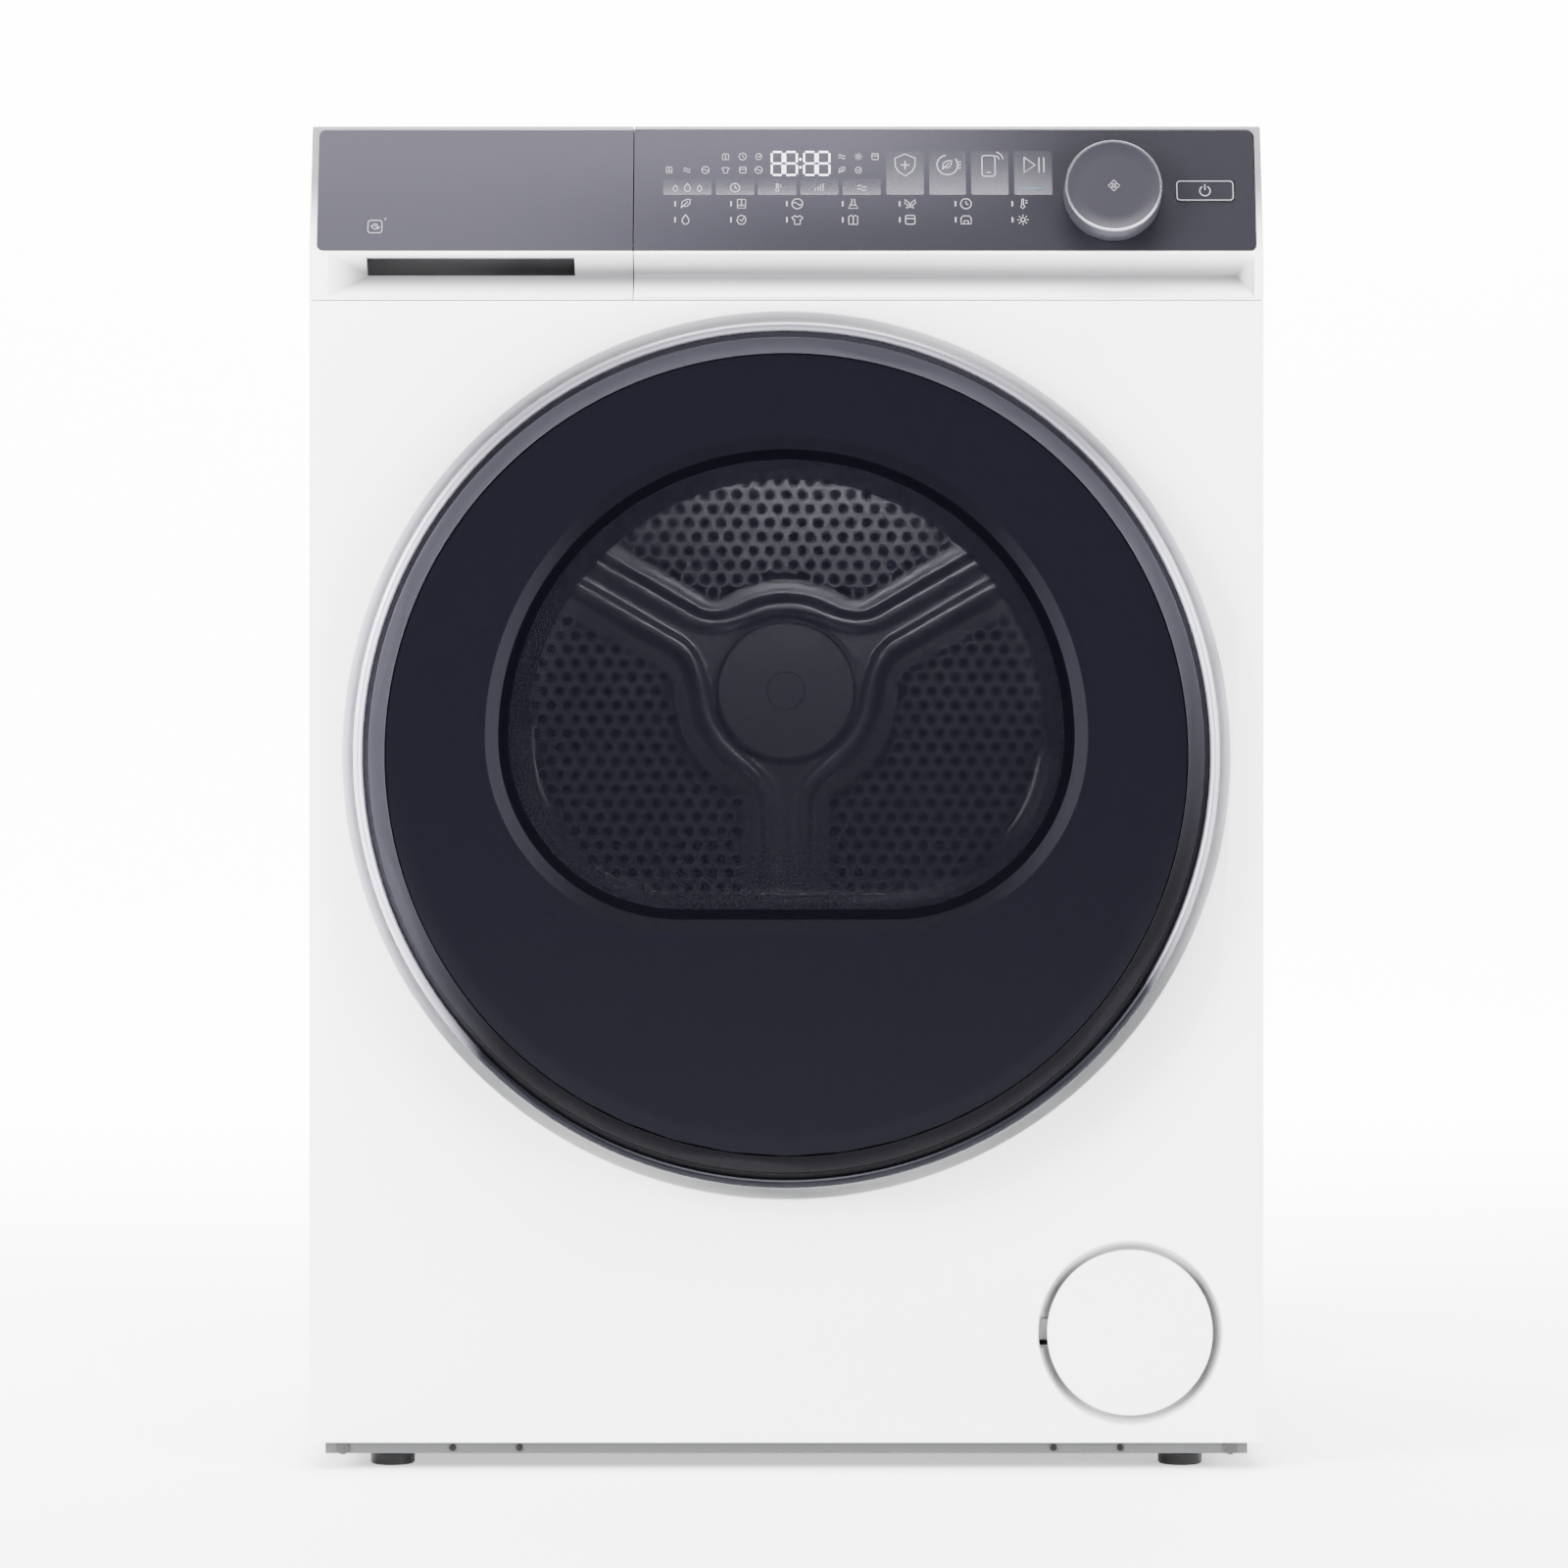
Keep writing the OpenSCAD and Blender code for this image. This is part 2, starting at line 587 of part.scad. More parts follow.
module fins(y0, y1, n)
  union() {
    for (k = [0 : n - 1])
      bx(cov_x0 + 7 + k * (cov_x1 - cov_x0 - 16) / n, cov_x0 + 8.2 + k * (cov_x1 - cov_x0 - 16) / n, y0, y1, 42, 188);
    for (z = [62 : 26 : 170], y = [y0 + 18 : 28 : y1 - 8])
      translate([cov_x0 + 6, y, z])
        rotate([0, 90, 0])
          cylinder(r = 4, h = cov_x1 - cov_x0 - 24);
    bx(cov_x0 + 4, cov_x1 - 4, y0 + 2, y1 - 2, 38, 42);
  }

module evaporator() color([0.75, 0.76, 0.78])
  fins(yf + 160, yf + 235, 11);

module condenser() color([0.75, 0.76, 0.78])
  fins(yf + 250, yr - 200, 11);

module refrigerant_pipes() color([0.72, 0.45, 0.28])
  union() {
    run(pts = [[-wx + 130, yr - 205, 189.05], [-wx + 130, yr - 205, 200], [-wx + 130, yr - 300, 200],
      [cov_x0 - 8, yr - 300, 200], [cov_x0 - 8, yr - 300, 150], [cov_x0 + 5.8, yr - 300, 150]], r = 4, bend = 5);
    run(pts = [[-wx + 204, yr - 205, 155.05], [-wx + 204, yr - 205, 172], [-wx + 204, yf + 200, 172],
      [cov_x0 - 8, yf + 200, 172], [cov_x0 - 8, yf + 200, 120], [cov_x0 + 5.8, yf + 200, 120]], r = 4, bend = 5);
  }

module heat_pump_cover() color([0.28, 0.29, 0.31])
  difference() {
    bx(cov_x0, cov_x1, yf + 33, yr - 171.5, skirt_z + 3.6, 205);
    bx(cov_x0 + 2.5, cov_x1 - 2.5, yf + 35.5, yr - 174, skirt_z + 3, 202.5);
    bx(cov_x0 + 12, cov_x1 - 5, yr - 176, yr - 170, 34, 156);
    bx(cov_x0 + 10, cov_x0 + 74, ydish + 12, drum_y0 - 26, 190, 206);
    bx(flap_x - 35 - half_gap, flap_x + 35 + half_gap, yf + 30, yf + 38, flap_z - 35 - half_gap, flap_z + 35 + half_gap);
    zcyl(foot_x, foot_yf, skirt_z, skirt_z + 33, boss_r + 1.5);
    for (y = [yf + 200, yr - 300], z = [120, 150])
      translate([cov_x0 - 2, y, z])
        rotate([0, 90, 0])
          cylinder(r = 6, h = 6);
  }

module heat_exchanger_filter() color([0.20, 0.32, 0.55])
  union() {
    difference() {
      bx(flap_x - 35, flap_x + 35, yf + 31, yf + 140, flap_z - 35, flap_z + 35);
      bx(flap_x - 32, flap_x + 32, yf + 36, yf + 141, flap_z - 32, flap_z + 32);
    }
    bx(flap_x - 33, flap_x + 33, yf + 120, yf + 132, flap_z - 33, flap_z + 33);
    bx(flap_x - 12, flap_x + 12, yf + 24, yf + 31.5, flap_z - 3, flap_z + 3);
  }

module condensate_pump() color([0.18, 0.19, 0.20])
  union() {
    bx(-78, -22, yf + 170, yf + 226, skirt_z + 3.6, skirt_z + 40);
    zcyl(-50, yf + 198, skirt_z + 39, skirt_z + 84, 22);
    ycyl(-66, skirt_z + 30, yf + 150, yf + 171, 5);
  }

module condensate_hose() color([0.55, 0.56, 0.58])
  union() {
    run(pts = [[-66, yf + 149.9, skirt_z + 30], [-66, yf + 120, skirt_z + 30], [-wx + 13, yf + 120, skirt_z + 30],
      [-wx + 13, yr - 40, skirt_z + 30], [-wx + 13, yr - 40, tank_z0 + 30],
      [tank_x0 + 60, yr - 40, tank_z0 + 30], [tank_x0 + 60, yr - 67, tank_z0 + 30]], r = 5, bend = 6);
  }

// ---- filter flap ----
module flap_frame() color([0.70, 0.71, 0.73])
  difference() {
    union() {
      yring(flap_x, flap_z, yf + 9.2, yf + 12, flap_r + 10, flap_r - 1);
      for (s = [-1, 1])
        bx(fl_ax - 5.5, fl_ax + 6.2, yf + 3, yf + 16, flap_z + s * 12 - 3, flap_z + s * 12 + 3);
      bx(fl_ax - 5.5, fl_ax + 12, yf + 13.5, yf + 16, flap_z - 30, flap_z - 15.1);
      bx(fl_ax - 5.5, fl_ax + 12, yf + 13.5, yf + 16, flap_z + 15.1, flap_z + 30);
      bx(fl_ax - 5.5, fl_ax + 12, yf + 11, yf + 14, flap_z - 30, flap_z - 14.9);
      bx(fl_ax - 5.5, fl_ax + 12, yf + 11, yf + 14, flap_z + 14.9, flap_z + 30);
    }
    zcyl(fl_ax, fl_ay, flap_z - 20, flap_z + 20, 2 + run_fit);
    bx(fl_ax - 8, fl_ax + 34, yf, yf + 20, flap_z - 8.8, flap_z + 8.8);
  }

module filter_flap() color([0.95, 0.96, 0.97])
  union() {
    yrev(flap_x, flap_z, yf)
      polygon([[0, 0], [flap_r - 1, 0], [flap_r, 1], [flap_r, 3], [0, 3]]);
    yring(flap_x, flap_z, yf + 2.9, yf + 6, flap_r - 6, flap_r - 8);
    bx(fl_ax + 22, fl_ax + 26, yf + 2.9, yf + 25, flap_z - 7, flap_z + 7);
    bx(fl_ax - 3, fl_ax + 26, yf + 21.5, yf + 25, flap_z - 7, flap_z + 7);
    bx(fl_ax - 3, fl_ax + 3, yf + 8, yf + 25, flap_z - 7, flap_z + 7);
    zcyl(fl_ax, fl_ay, flap_z - 14.8, flap_z + 14.8, 2);
  }

// ---- door ----
// room for the fixed hinge knuckles and arms, from a depth behind the door's face
module hinge_pocket(front)
  for (s = [-1, 1])
    bx(hinge_x - 33, hinge_x + 26, yd + front, ydish + 4, door_z + s * 60 - 8, door_z + s * 60 + 8);

module door_ring() color([0.66, 0.66, 0.71])
  difference() {
    yrev(0, door_z, yd)
      polygon([[door_r - 6, 5], [door_r - 5.4, 1.2], [door_r - 4, 0], [door_r - 2, 0], [door_r - 0.4, 1.2],
        [door_r, 3.5], [door_r, 38], [door_r - 3.5, 38], [door_r - 3.5, 8], [door_r - 6, 8]]);
    hinge_pocket(7);
  }

module door_bezel() color([0.40, 0.40, 0.45])
  difference() {
    yrev(0, door_z, yd)
      polygon([[glass_r + 0.3, 1.2], [door_r - 10, 0.8], [door_r - 9.5, 1.6], [door_r - 9.5, 5], [door_r - 6.2, 5],
        [door_r - 6.2, 8.2], [door_r - 3.7, 8.2], [door_r - 3.7, 11], [glass_r - 10, 11], [glass_r - 10, 7],
        [glass_r + 0.3, 7]]);
    hinge_pocket(9.2);
  }

module door_glass() color([0.10, 0.10, 0.13, 0.6])
  yrev(0, door_z, yd + 2)
    polygon([[0, 0], [glass_r - 0.6, 0], [glass_r, 0.6], [glass_r, 4.5], [0, 4.5]]);

module door_bowl() color([0.25, 0.26, 0.30, 0.5])
  difference() {
    union() {
      d_hole(12, yd + 6.7, yd + 9.7);
      d_hole(0, yd + 9, yd + 52);
      d_hole(-6, yd + 51, yd + 72);
      d_hole(-12, yd + 71, yd + 92);
      d_hole(-20, yd + 91, yd + 108);
    }
    d_hole(-3, yd + 6, yd + 49);
    d_hole(-9, yd + 48, yd + 69);
    d_hole(-15, yd + 68, yd + 89);
    d_hole(-23, yd + 88, yd + 105);
  }

module door_inner_frame() color([0.74, 0.75, 0.78])
  difference() {
    union() {
      yrev(0, door_z, yd)
        polygon([[door_r - 6.5, 11.3], [door_r - 3.8, 11.3], [door_r - 3.8, 37.6], [door_r - 38, 37.6], [door_r - 38, 51],
          [100, 51], [100, 48.5], [door_r - 40.5, 48.5], [door_r - 40.5, 35], [door_r - 6.5, 35]]);
      d_ring(0.4, 3.5, yd + 10, yd + 50);
      intersection() {
        union() {
          for (s = [-1, 1]) {
            bx(hinge_x - 10, hinge_x + 30, hy - 5.5, yd + 36, door_z + s * 46 - 5.6, door_z + s * 46 + 5.6);
            bx(hinge_x - 10, hinge_x + 30, hy - 5.5, yd + 36, door_z + s * 73 - 4.5, door_z + s * 73 + 4.5);
          }
        }
        ycyl(0, door_z, yd, ydish, door_r - 5);
      }
    }
    d_hole(1, yd, yd + 60);
    hinge_pocket(9.2);
    zcyl(hinge_x, hy, door_z - 90, door_z + 90, pin_r);
  }

module door_seal() color([0.16, 0.16, 0.17])
  d_ring(11, 20, yd + 51, yd + 52.7);

module door_hook() color([0.70, 0.71, 0.72])
  union() {
    bx(21 - door_r, 28.2 - door_r, yd + 37.6, yd + 62, door_z - 5, door_z + 5);
    bx(17.4 - door_r, 28.2 - door_r, yd + 57, yd + 62, door_z - 5, door_z + 5);
    bx(17.4 - door_r, 33 - door_r, yd + 37.65, yd + 39.5, door_z - 9, door_z + 9);
  }

module door_hinge_pin() color([0.72, 0.72, 0.74])
  zcyl(hinge_x, hy, door_z - 77, door_z + 77, pin_r);

module door_hinge_bracket() color([0.66, 0.67, 0.69])
  difference() {
    union() {
      bx(hinge_x - 36, hinge_x - 12, ydish + 1.1, ydish + 3.8, door_z - 76, door_z + 76);
      for (s = [-1, 1]) {
        zcyl(hinge_x, hy, door_z + s * 60 - 6, door_z + s * 60 + 6, 7);
        translate([hinge_x, hy, door_z + s * 60 - 6])
          rotate([0, 0, 35])
            translate([-4, 0, 0])
              cube([8, 44, 12]);
      }
    }
    zcyl(hinge_x, hy, door_z - 90, door_z + 90, pin_r + run_fit);
    bx(hinge_x - 60, hinge_x + 20, ydish + 3.8, ydish + 40, door_z - 90, door_z + 90);
  }

module door_catch() color([0.70, 0.71, 0.72])
  difference() {
    bx(8.4 - door_r, 37.5 - door_r, ydish + 1.1, ydish + 22, door_z - 13, door_z + 13);
    bx(11.4 - door_r, 34.5 - door_r, ydish, ydish + 19.5, door_z - 10.5, door_z + 10.5);
  }

// ---- tank drawer ----
module drawer_front() color([0.94, 0.95, 0.96])
  difference() {
    xext(-wx, split_x - half_gap)
      console_2d();
    recess();
    xext(-wx + 2.5, split_x - 2.8)
      hollow_2d();
    on_face()
      yext(-1, 2.1)
        polygon(rr_pts(-pan_x - 0.1, split_x + 5, 0.2, face_l - 0.1, 4, 4));
    bx(-wx + 35.4, split_x - 37, yf - 5, yf + 26, zc + 17, zc + 27.5);
  }

module drawer_fascia() color([0.42, 0.42, 0.46])
  on_face()
    yext(-0.2, 2)
      polygon(rr_pts(-pan_x, split_x - half_gap, 0.3, face_l - 0.2, 4, 0.4));

module water_tank() color([0.72, 0.75, 0.78, 0.7])
  difference() {
    union() {
      bx(tank_x0, tank_x1, yb, yr - 72, tank_z0, tank_z1 - 1);
      bx(tank_x0, tank_x1, yb + 8, yr - 80, tank_z1 - 2, tank_z1);
    }
    bx(tank_x0 + 2, tank_x1 - 2, yb + 2, yr - 74, tank_z0 + 2, tank_z1 - 3);
    zcyl(tank_x0 + 60, yr - 110, tank_z1 - 10, tank_z1 + 5, 12);
  }

// ---- controls ----
module dial_knob() color([0.56, 0.56, 0.60])
  on_face(dial_x, mid_z)
    union() {
      translate([0, -dial_h, 0])
        rotate([-90, 0, 0])
          rotate_extrude()
            polygon([[0, 0.7], [dial_r - 2.6, 0.7], [dial_r - 2, 0], [dial_r - 1.2, 0], [dial_r - 0.6, 0.8],
              [dial_r, dial_h - 1], [dial_r - 2, dial_h - 1], [dial_r - 3, 4], [0, 4]]);
      ycyl(0, 0, -dial_h + 3.5, 13.2, 3.4);
    }

module power_button() color([0.42, 0.42, 0.46])
  on_face(power_x, key_z)
    union() {
      bx(-18.3, 18.3, -0.9, 2.2, -6.8, 6.8);
      bx(-12, 8, 2.1, 10.5, -4, 4);
    }

// ---- drum ----
module drum_shell() color([0.72, 0.73, 0.75])
  yrev(0, drum_z, drum_y0)
    polygon([[mouth_r, -10], [mouth_r + 1, -10], [mouth_r + 1, 0], [drum_r, 0], [drum_r, drum_y1 - drum_y0],
      [drum_r - 1, drum_y1 - drum_y0], [drum_r - 1, 1], [mouth_r, 1]]);

module drum_back() color([0.70, 0.71, 0.73])
  difference() {
    union() {
      ycyl(0, drum_z, drum_y1 - 6, drum_y1 - 4.8, drum_r - 1);
      yring(0, drum_z, drum_y1 - 14, drum_y1 - 5, 64, 60);
      for (a = [60, 180, 300])
        translate([0, 0, drum_z])
          rotate([0, a, 0])
            difference() {
              bx(-19, 19, drum_y1 - 15, drum_y1 - 5.5, 62, 172);
              bx(-12, 12, drum_y1 - 16, drum_y1 - 4, 68, 166);
            }
    }
    for (a = [0 : 120 : 240], k = [0 : 5])
      translate([0, 0, drum_z])
        rotate([0, a + (k - 2.5) * 14, 0])
          for (r = [86 : 24 : 158])
            ycyl(0, r, drum_y1 - 8, drum_y1, 4);
    ycyl(0, drum_z, drum_y1 - 8, drum_y1, 12);
  }

module drum_lifters() color([0.80, 0.81, 0.83])
  for (a = [0, 120, 240])
    translate([0, 0, drum_z])
      rotate([0, a, 0])
        difference() {
          yext(drum_y0 + 12, drum_y1 - 16)
            polygon([[-34, drum_r - 4.3], [34, drum_r - 4.3], [14, drum_r - 54], [7, drum_r - 58], [-7, drum_r - 58], [-14, drum_r - 54]]);
          yext(drum_y0 + 15, drum_y1 - 19)
            polygon([[-31, drum_r - 3], [31, drum_r - 3], [12, drum_r - 52], [6, drum_r - 55], [-6, drum_r - 55], [-12, drum_r - 52]]);
        }

module drum_hub() color([0.58, 0.59, 0.61])
  union() {
    yrev(0, drum_z, drum_y1 - 16)
      polygon([[0, 5], [4.3, 5], [4.3, 1.4], [13.5, 1.4], [14.5, 0], [49.5, 0], [52, 2.5], [52, 9.9], [0, 9.9]]);
    ycyl(0, drum_z, drum_y1 - 8, yr - 3, 12);
    ycyl(0, drum_z, drum_y1 - 4.7, drum_y1 + 6, 60);
  }

module roller(s)
  difference() {
    yrev(s * roll_x, roll_z, drum_y0 + 5)
      polygon([[4 + run_fit, 0], [roller_r, 0], [roller_r, 16], [4 + run_fit, 16]]);
    yring(s * roll_x, roll_z, drum_y0 + 4, drum_y0 + 8, roller_r - 4, 8);
  }

module roller_left() color([0.14, 0.14, 0.15])
  roller(-1);

module roller_right() color([0.14, 0.14, 0.15])
  roller(1);

// ---- small parts ----
module mains_inlet_gland() color([0.10, 0.10, 0.11])
  difference() {
    union() {
      ycyl(-wx + 70, height - 90, yr - 14, yr + 12, 9);
      ycyl(-wx + 70, height - 90, yr + 0.05, yr + 4, 14);
      ycyl(-wx + 70, height - 90, yr - 9, yr - 1.05, 13);
    }
    ycyl(-wx + 70, height - 90, yr - 20, yr + 20, 4.6);
  }

module screw_head(x, z, y)
  difference() {
    yrev(x, z, y)
      polygon([[0, 0], [4.4, 0], [4.4, 1], [3, 2.4], [0, 2.6]]);
    bx(x - 2.6, x + 2.6, y + 1.4, y + 4, z - 0.5, z + 0.5);
    bx(x - 0.5, x + 0.5, y + 1.4, y + 4, z - 2.6, z + 2.6);
  }

module cabinet_screws() color([0.60, 0.61, 0.62])
  union() {
    for (x = [-wx + 28, wx - 28], k = [0 : 3])
      screw_head(x, 60 + k * (height - 150) / 3, yr + 0.05);
    for (x = [-150, 150])
      screw_head(x, 40, yr + 0.05);
    for (a = [30 : 60 : 330])
      screw_head(235 * sin(a), drum_z + 235 * cos(a), yr + 1.5);
  }

module foot(x, y) color([0.12, 0.12, 0.13])
  union() {
    translate([x, y, 0])
      rotate_extrude()
        polygon([[0, 0], [foot_r - 1, 0], [foot_r, 1], [foot_r, 7], [foot_r - 3, 9.4], [0, 9.4]]);
    translate([x, y, 9])
      cylinder(r = stud_r + 3, h = 4, $fn = 6);
    zcyl(x, y, 9, skirt_z + 30, stud_r);
  }

module foot_front_left()
  foot(-foot_x, foot_yf);

module foot_front_right()
  foot(foot_x, foot_yf);

module foot_rear_left()
  foot(-foot_x, foot_yr);

module foot_rear_right()
  foot(foot_x, foot_yr);

base_tray();
left_side_panel();
right_side_panel();
rear_panel();
front_panel();
top_panel();
console_frame();
control_fascia();
control_board();
drawer_housing();
front_bulkhead();
front_felt_seal();
lint_filter();
rear_duct_cover();
drum_bearing();
drive_motor();
compressor();
evaporator();
condenser();
refrigerant_pipes();
heat_pump_cover();
fan_housing();
condensate_pump();
condensate_hose();
heat_exchanger_filter();
flap_frame();
door_catch();
door_hinge_bracket();
drive_belt();
mains_inlet_gland();
cabinet_screws();
idler_bracket();
door_ring();
door_bezel();
door_glass();
door_bowl();
door_inner_frame();
door_seal();
door_hook();
door_hinge_pin();
drawer_front();
drawer_fascia();
water_tank();
dial_knob();
power_button();
filter_flap();
drum_shell();
drum_back();
drum_lifters();
drum_hub();
motor_rotor();
fan_impeller();
idler_pulley();
roller_left();
roller_right();
foot_front_left();
foot_front_right();
foot_rear_left();
foot_rear_right();
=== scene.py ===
import math

import bmesh
import bpy
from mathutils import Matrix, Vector


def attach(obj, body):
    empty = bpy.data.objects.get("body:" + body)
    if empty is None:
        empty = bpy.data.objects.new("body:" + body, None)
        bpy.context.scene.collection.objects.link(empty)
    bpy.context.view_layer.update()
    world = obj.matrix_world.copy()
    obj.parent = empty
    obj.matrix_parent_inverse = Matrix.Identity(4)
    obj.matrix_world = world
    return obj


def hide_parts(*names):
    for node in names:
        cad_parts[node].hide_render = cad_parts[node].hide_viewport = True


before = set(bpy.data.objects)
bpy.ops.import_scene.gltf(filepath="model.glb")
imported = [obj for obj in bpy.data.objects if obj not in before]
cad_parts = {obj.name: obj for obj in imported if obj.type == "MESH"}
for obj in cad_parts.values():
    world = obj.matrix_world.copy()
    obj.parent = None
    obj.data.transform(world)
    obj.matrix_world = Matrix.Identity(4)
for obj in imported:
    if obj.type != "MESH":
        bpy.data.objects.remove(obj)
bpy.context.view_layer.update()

# ---- The room and the lamps ----------------------------------------------------------
# A white paper sweep runs along the floor and up behind the machine. Large soft lamps stand
# to the upper left, above and to the right, so the front is evenly lit and the rims catch light.
# A small lamp in the drum's mouth lights its back plate. The paper also glows by itself, weakly in
# front and fully towards the back: painted light that whitens the backdrop and lights the machine.


class Field:
    """One socket of a finish, so that shader sums read as ordinary arithmetic."""

    def __init__(self, finish, socket):
        self.finish, self.socket = finish, socket

    def sum(self, operation, first, second):
        return self.finish.node("ShaderNodeMath", {"operation": operation}, {0: first, 1: second})

    def __add__(self, other):
        return self.sum("ADD", self, other)

    def __sub__(self, other):
        return self.sum("SUBTRACT", self, other)

    def __rsub__(self, other):
        return self.sum("SUBTRACT", other, self)

    def __mul__(self, other):
        return self.sum("MULTIPLY", self, other)

    def __pow__(self, other):
        return self.sum("POWER", self, other)

    __radd__ = __add__
    __rmul__ = __mul__


class Finish:
    """A material with its principled shader, and the one way to add any other node to it."""

    def __init__(self, name, color, roughness, **constants):
        self.material = bpy.data.materials.new(name)
        self.material.use_nodes = True
        self.tree = self.material.node_tree
        self.shader = self.tree.nodes["Principled BSDF"]
        self.shader.inputs["Base Color"].default_value = (*color, 1)
        self.shader.inputs["Roughness"].default_value = roughness
        for key, value in constants.items():
            self.shader.inputs[key.replace("_", " ")].default_value = value
        self.place = self.node("ShaderNodeTexCoord", {}, {}, "Object")

    def node(self, kind, settings, values, output=0):
        made = self.tree.nodes.new(kind)
        for key, value in settings.items():
            setattr(made, key, value)
        for key, value in values.items():
            if isinstance(value, Field):
                self.tree.links.new(value.socket, made.inputs[key])
            else:
                made.inputs[key].default_value = value
        return Field(self, made.outputs[output])

    def along(self, axis):
        return self.node("ShaderNodeSeparateXYZ", {}, {0: self.place}, axis)

    def noise(self, scale, detail=2.0, squeeze=(1, 1, 1)):
        spread = self.node("ShaderNodeVectorMath", {"operation": "MULTIPLY"}, {0: self.place, 1: squeeze})
        return self.node("ShaderNodeTexNoise", {}, {"Vector": spread, "Scale": scale, "Detail": detail})

    def ramp(self, value, low, high):
        return self.node("ShaderNodeMapRange", {"interpolation_type": "SMOOTHSTEP"},
                         {"Value": value, "From Min": low, "From Max": high})

    def tint(self, first, second, amount):
        return self.node("ShaderNodeMix", {"data_type": "RGBA"},
                         {0: amount, 6: (*first[:3], 1), 7: (*second[:3], 1)}, 2)

    def feed(self, **fields):
        for key, field in fields.items():
            self.tree.links.new(field.socket, self.shader.inputs[key.replace("_", " ")])
        return self

    def relief(self, height, distance, strength=1.0):
        bump = self.node("ShaderNodeBump", {},
                         {"Strength": strength, "Distance": distance, "Height": height})
        return self.feed(Normal=bump)


def part(name, points, faces, finishes, smooth=40):
    mesh = bpy.data.meshes.new(name)
    mesh.from_pydata(points, [], faces)
    for finish in finishes:
        mesh.materials.append(finish.material)
    mesh.validate()
    shape = bmesh.new()
    shape.from_mesh(mesh)
    bmesh.ops.recalc_face_normals(shape, faces=shape.faces)
    shape.to_mesh(mesh)
    shape.free()
    mesh.shade_smooth()
    mesh.set_sharp_from_angle(angle=math.radians(smooth))
    made = bpy.data.objects.new(name, mesh)
    bpy.context.scene.collection.objects.link(made)
    return made


# Painted light: the paper's own glow rises from dim in front to full towards the back.
paper = Finish("studio_paper", (0.93, 0.93, 0.94), 0.9, Emission_Strength=9.0)
lit = paper.ramp(paper.along(1), -0.4, 3.6)
paper.feed(Roughness=0.85 + 0.1 * paper.noise(40),
           Emission_Color=paper.tint((0.08, 0.08, 0.08), (1, 1, 1), lit))
sweep = [(-9.0, 0.0), (3.2, 0.0)]
sweep += [(3.2 + 1.6 * math.sin(a * math.pi / 24), 1.6 - 1.6 * math.cos(a * math.pi / 24)) for a in range(1,
    13)]
sweep += [(4.8, 7.0)]
corners = [(x, y, z) for y, z in sweep for x in (-14.0, 14.0)]
floor = part("paper_sweep", corners,
             [(2 * i, 2 * i + 1, 2 * i + 3, 2 * i + 2) for i in range(len(sweep) - 1)], [paper])

room = bpy.data.worlds.new("room")
room.use_nodes = True
room.node_tree.nodes["Background"].inputs["Color"].default_value = (0.97, 0.98, 1.0, 1)
room.node_tree.nodes["Background"].inputs["Strength"].default_value = 0.35
bpy.context.scene.world = room


def lamp(name, place, target, size, power, tall=None):
    light = bpy.data.lights.new(name, "AREA")
    light.shape = "RECTANGLE"
    light.size, light.size_y, light.energy = size, tall or size, power
    holder = bpy.data.objects.new(name, light)
    holder.location = place
    holder.rotation_euler = (Vector(target) - Vector(place)).to_track_quat("-Z", "Y").to_euler()
    bpy.context.scene.collection.objects.link(holder)
    return holder


lamp("key_lamp", (-3.4, -2.6, 1.9), (0, -0.2, 0.45), 2.0, 740)
lamp("side_lamp", (3.4, -2.6, 1.2), (0, -0.2, 0.4), 1.8, 360)
lamp("top_lamp", (0, -0.9, 3.6), (0, 0, 0.5), 2.4, 420)
lamp("back_lamp", (-1.8, 3.4, 2.6), (0, 0.3, 0.4), 2.0, 70)
lamp("drum_lamp", (0.03, -0.13, 0.70), (-0.02, 0.25, 0.40), 0.16, 2.4, 0.05)

camera = bpy.data.objects.new("camera", bpy.data.cameras.new("camera"))
camera.data.sensor_width = 36
camera.data.lens = 109.6
camera.location = (-0.0015, -3.295, 0.431)
camera.rotation_euler = (math.pi / 2, 0, 0)
bpy.context.scene.collection.objects.link(camera)
bpy.context.scene.camera = camera

# ---- White sheet steel: front, sides and top -----------------------------------------
# Cold rolled steel panels folded at their edges and powder coated white. The coat has a fine
# orange peel, and each fold is slightly round. The sides and top have a greyer white than the
# front. The groove round the flap has painted shade: its white is darkened there, most at its left and right.
white_coat = Finish("white_powder_coat", (0.67, 0.675, 0.68), 0.34, IOR=1.45, Coat_Roughness=0.2)
peel = white_coat.noise(420, 1.0) * 0.7 + white_coat.noise(1500, 0.0) * 0.3
haze = white_coat.noise(3.5, 3.0)
white_coat.relief(peel, 0.00012, 0.35)
white_coat.feed(Roughness=0.3 + 0.08 * haze,
                Base_Color=white_coat.tint((0.70, 0.705, 0.71), (0.64, 0.645, 0.65), haze))


FOLD_ANGLE, SMOOTH_ANGLE = 35, 40


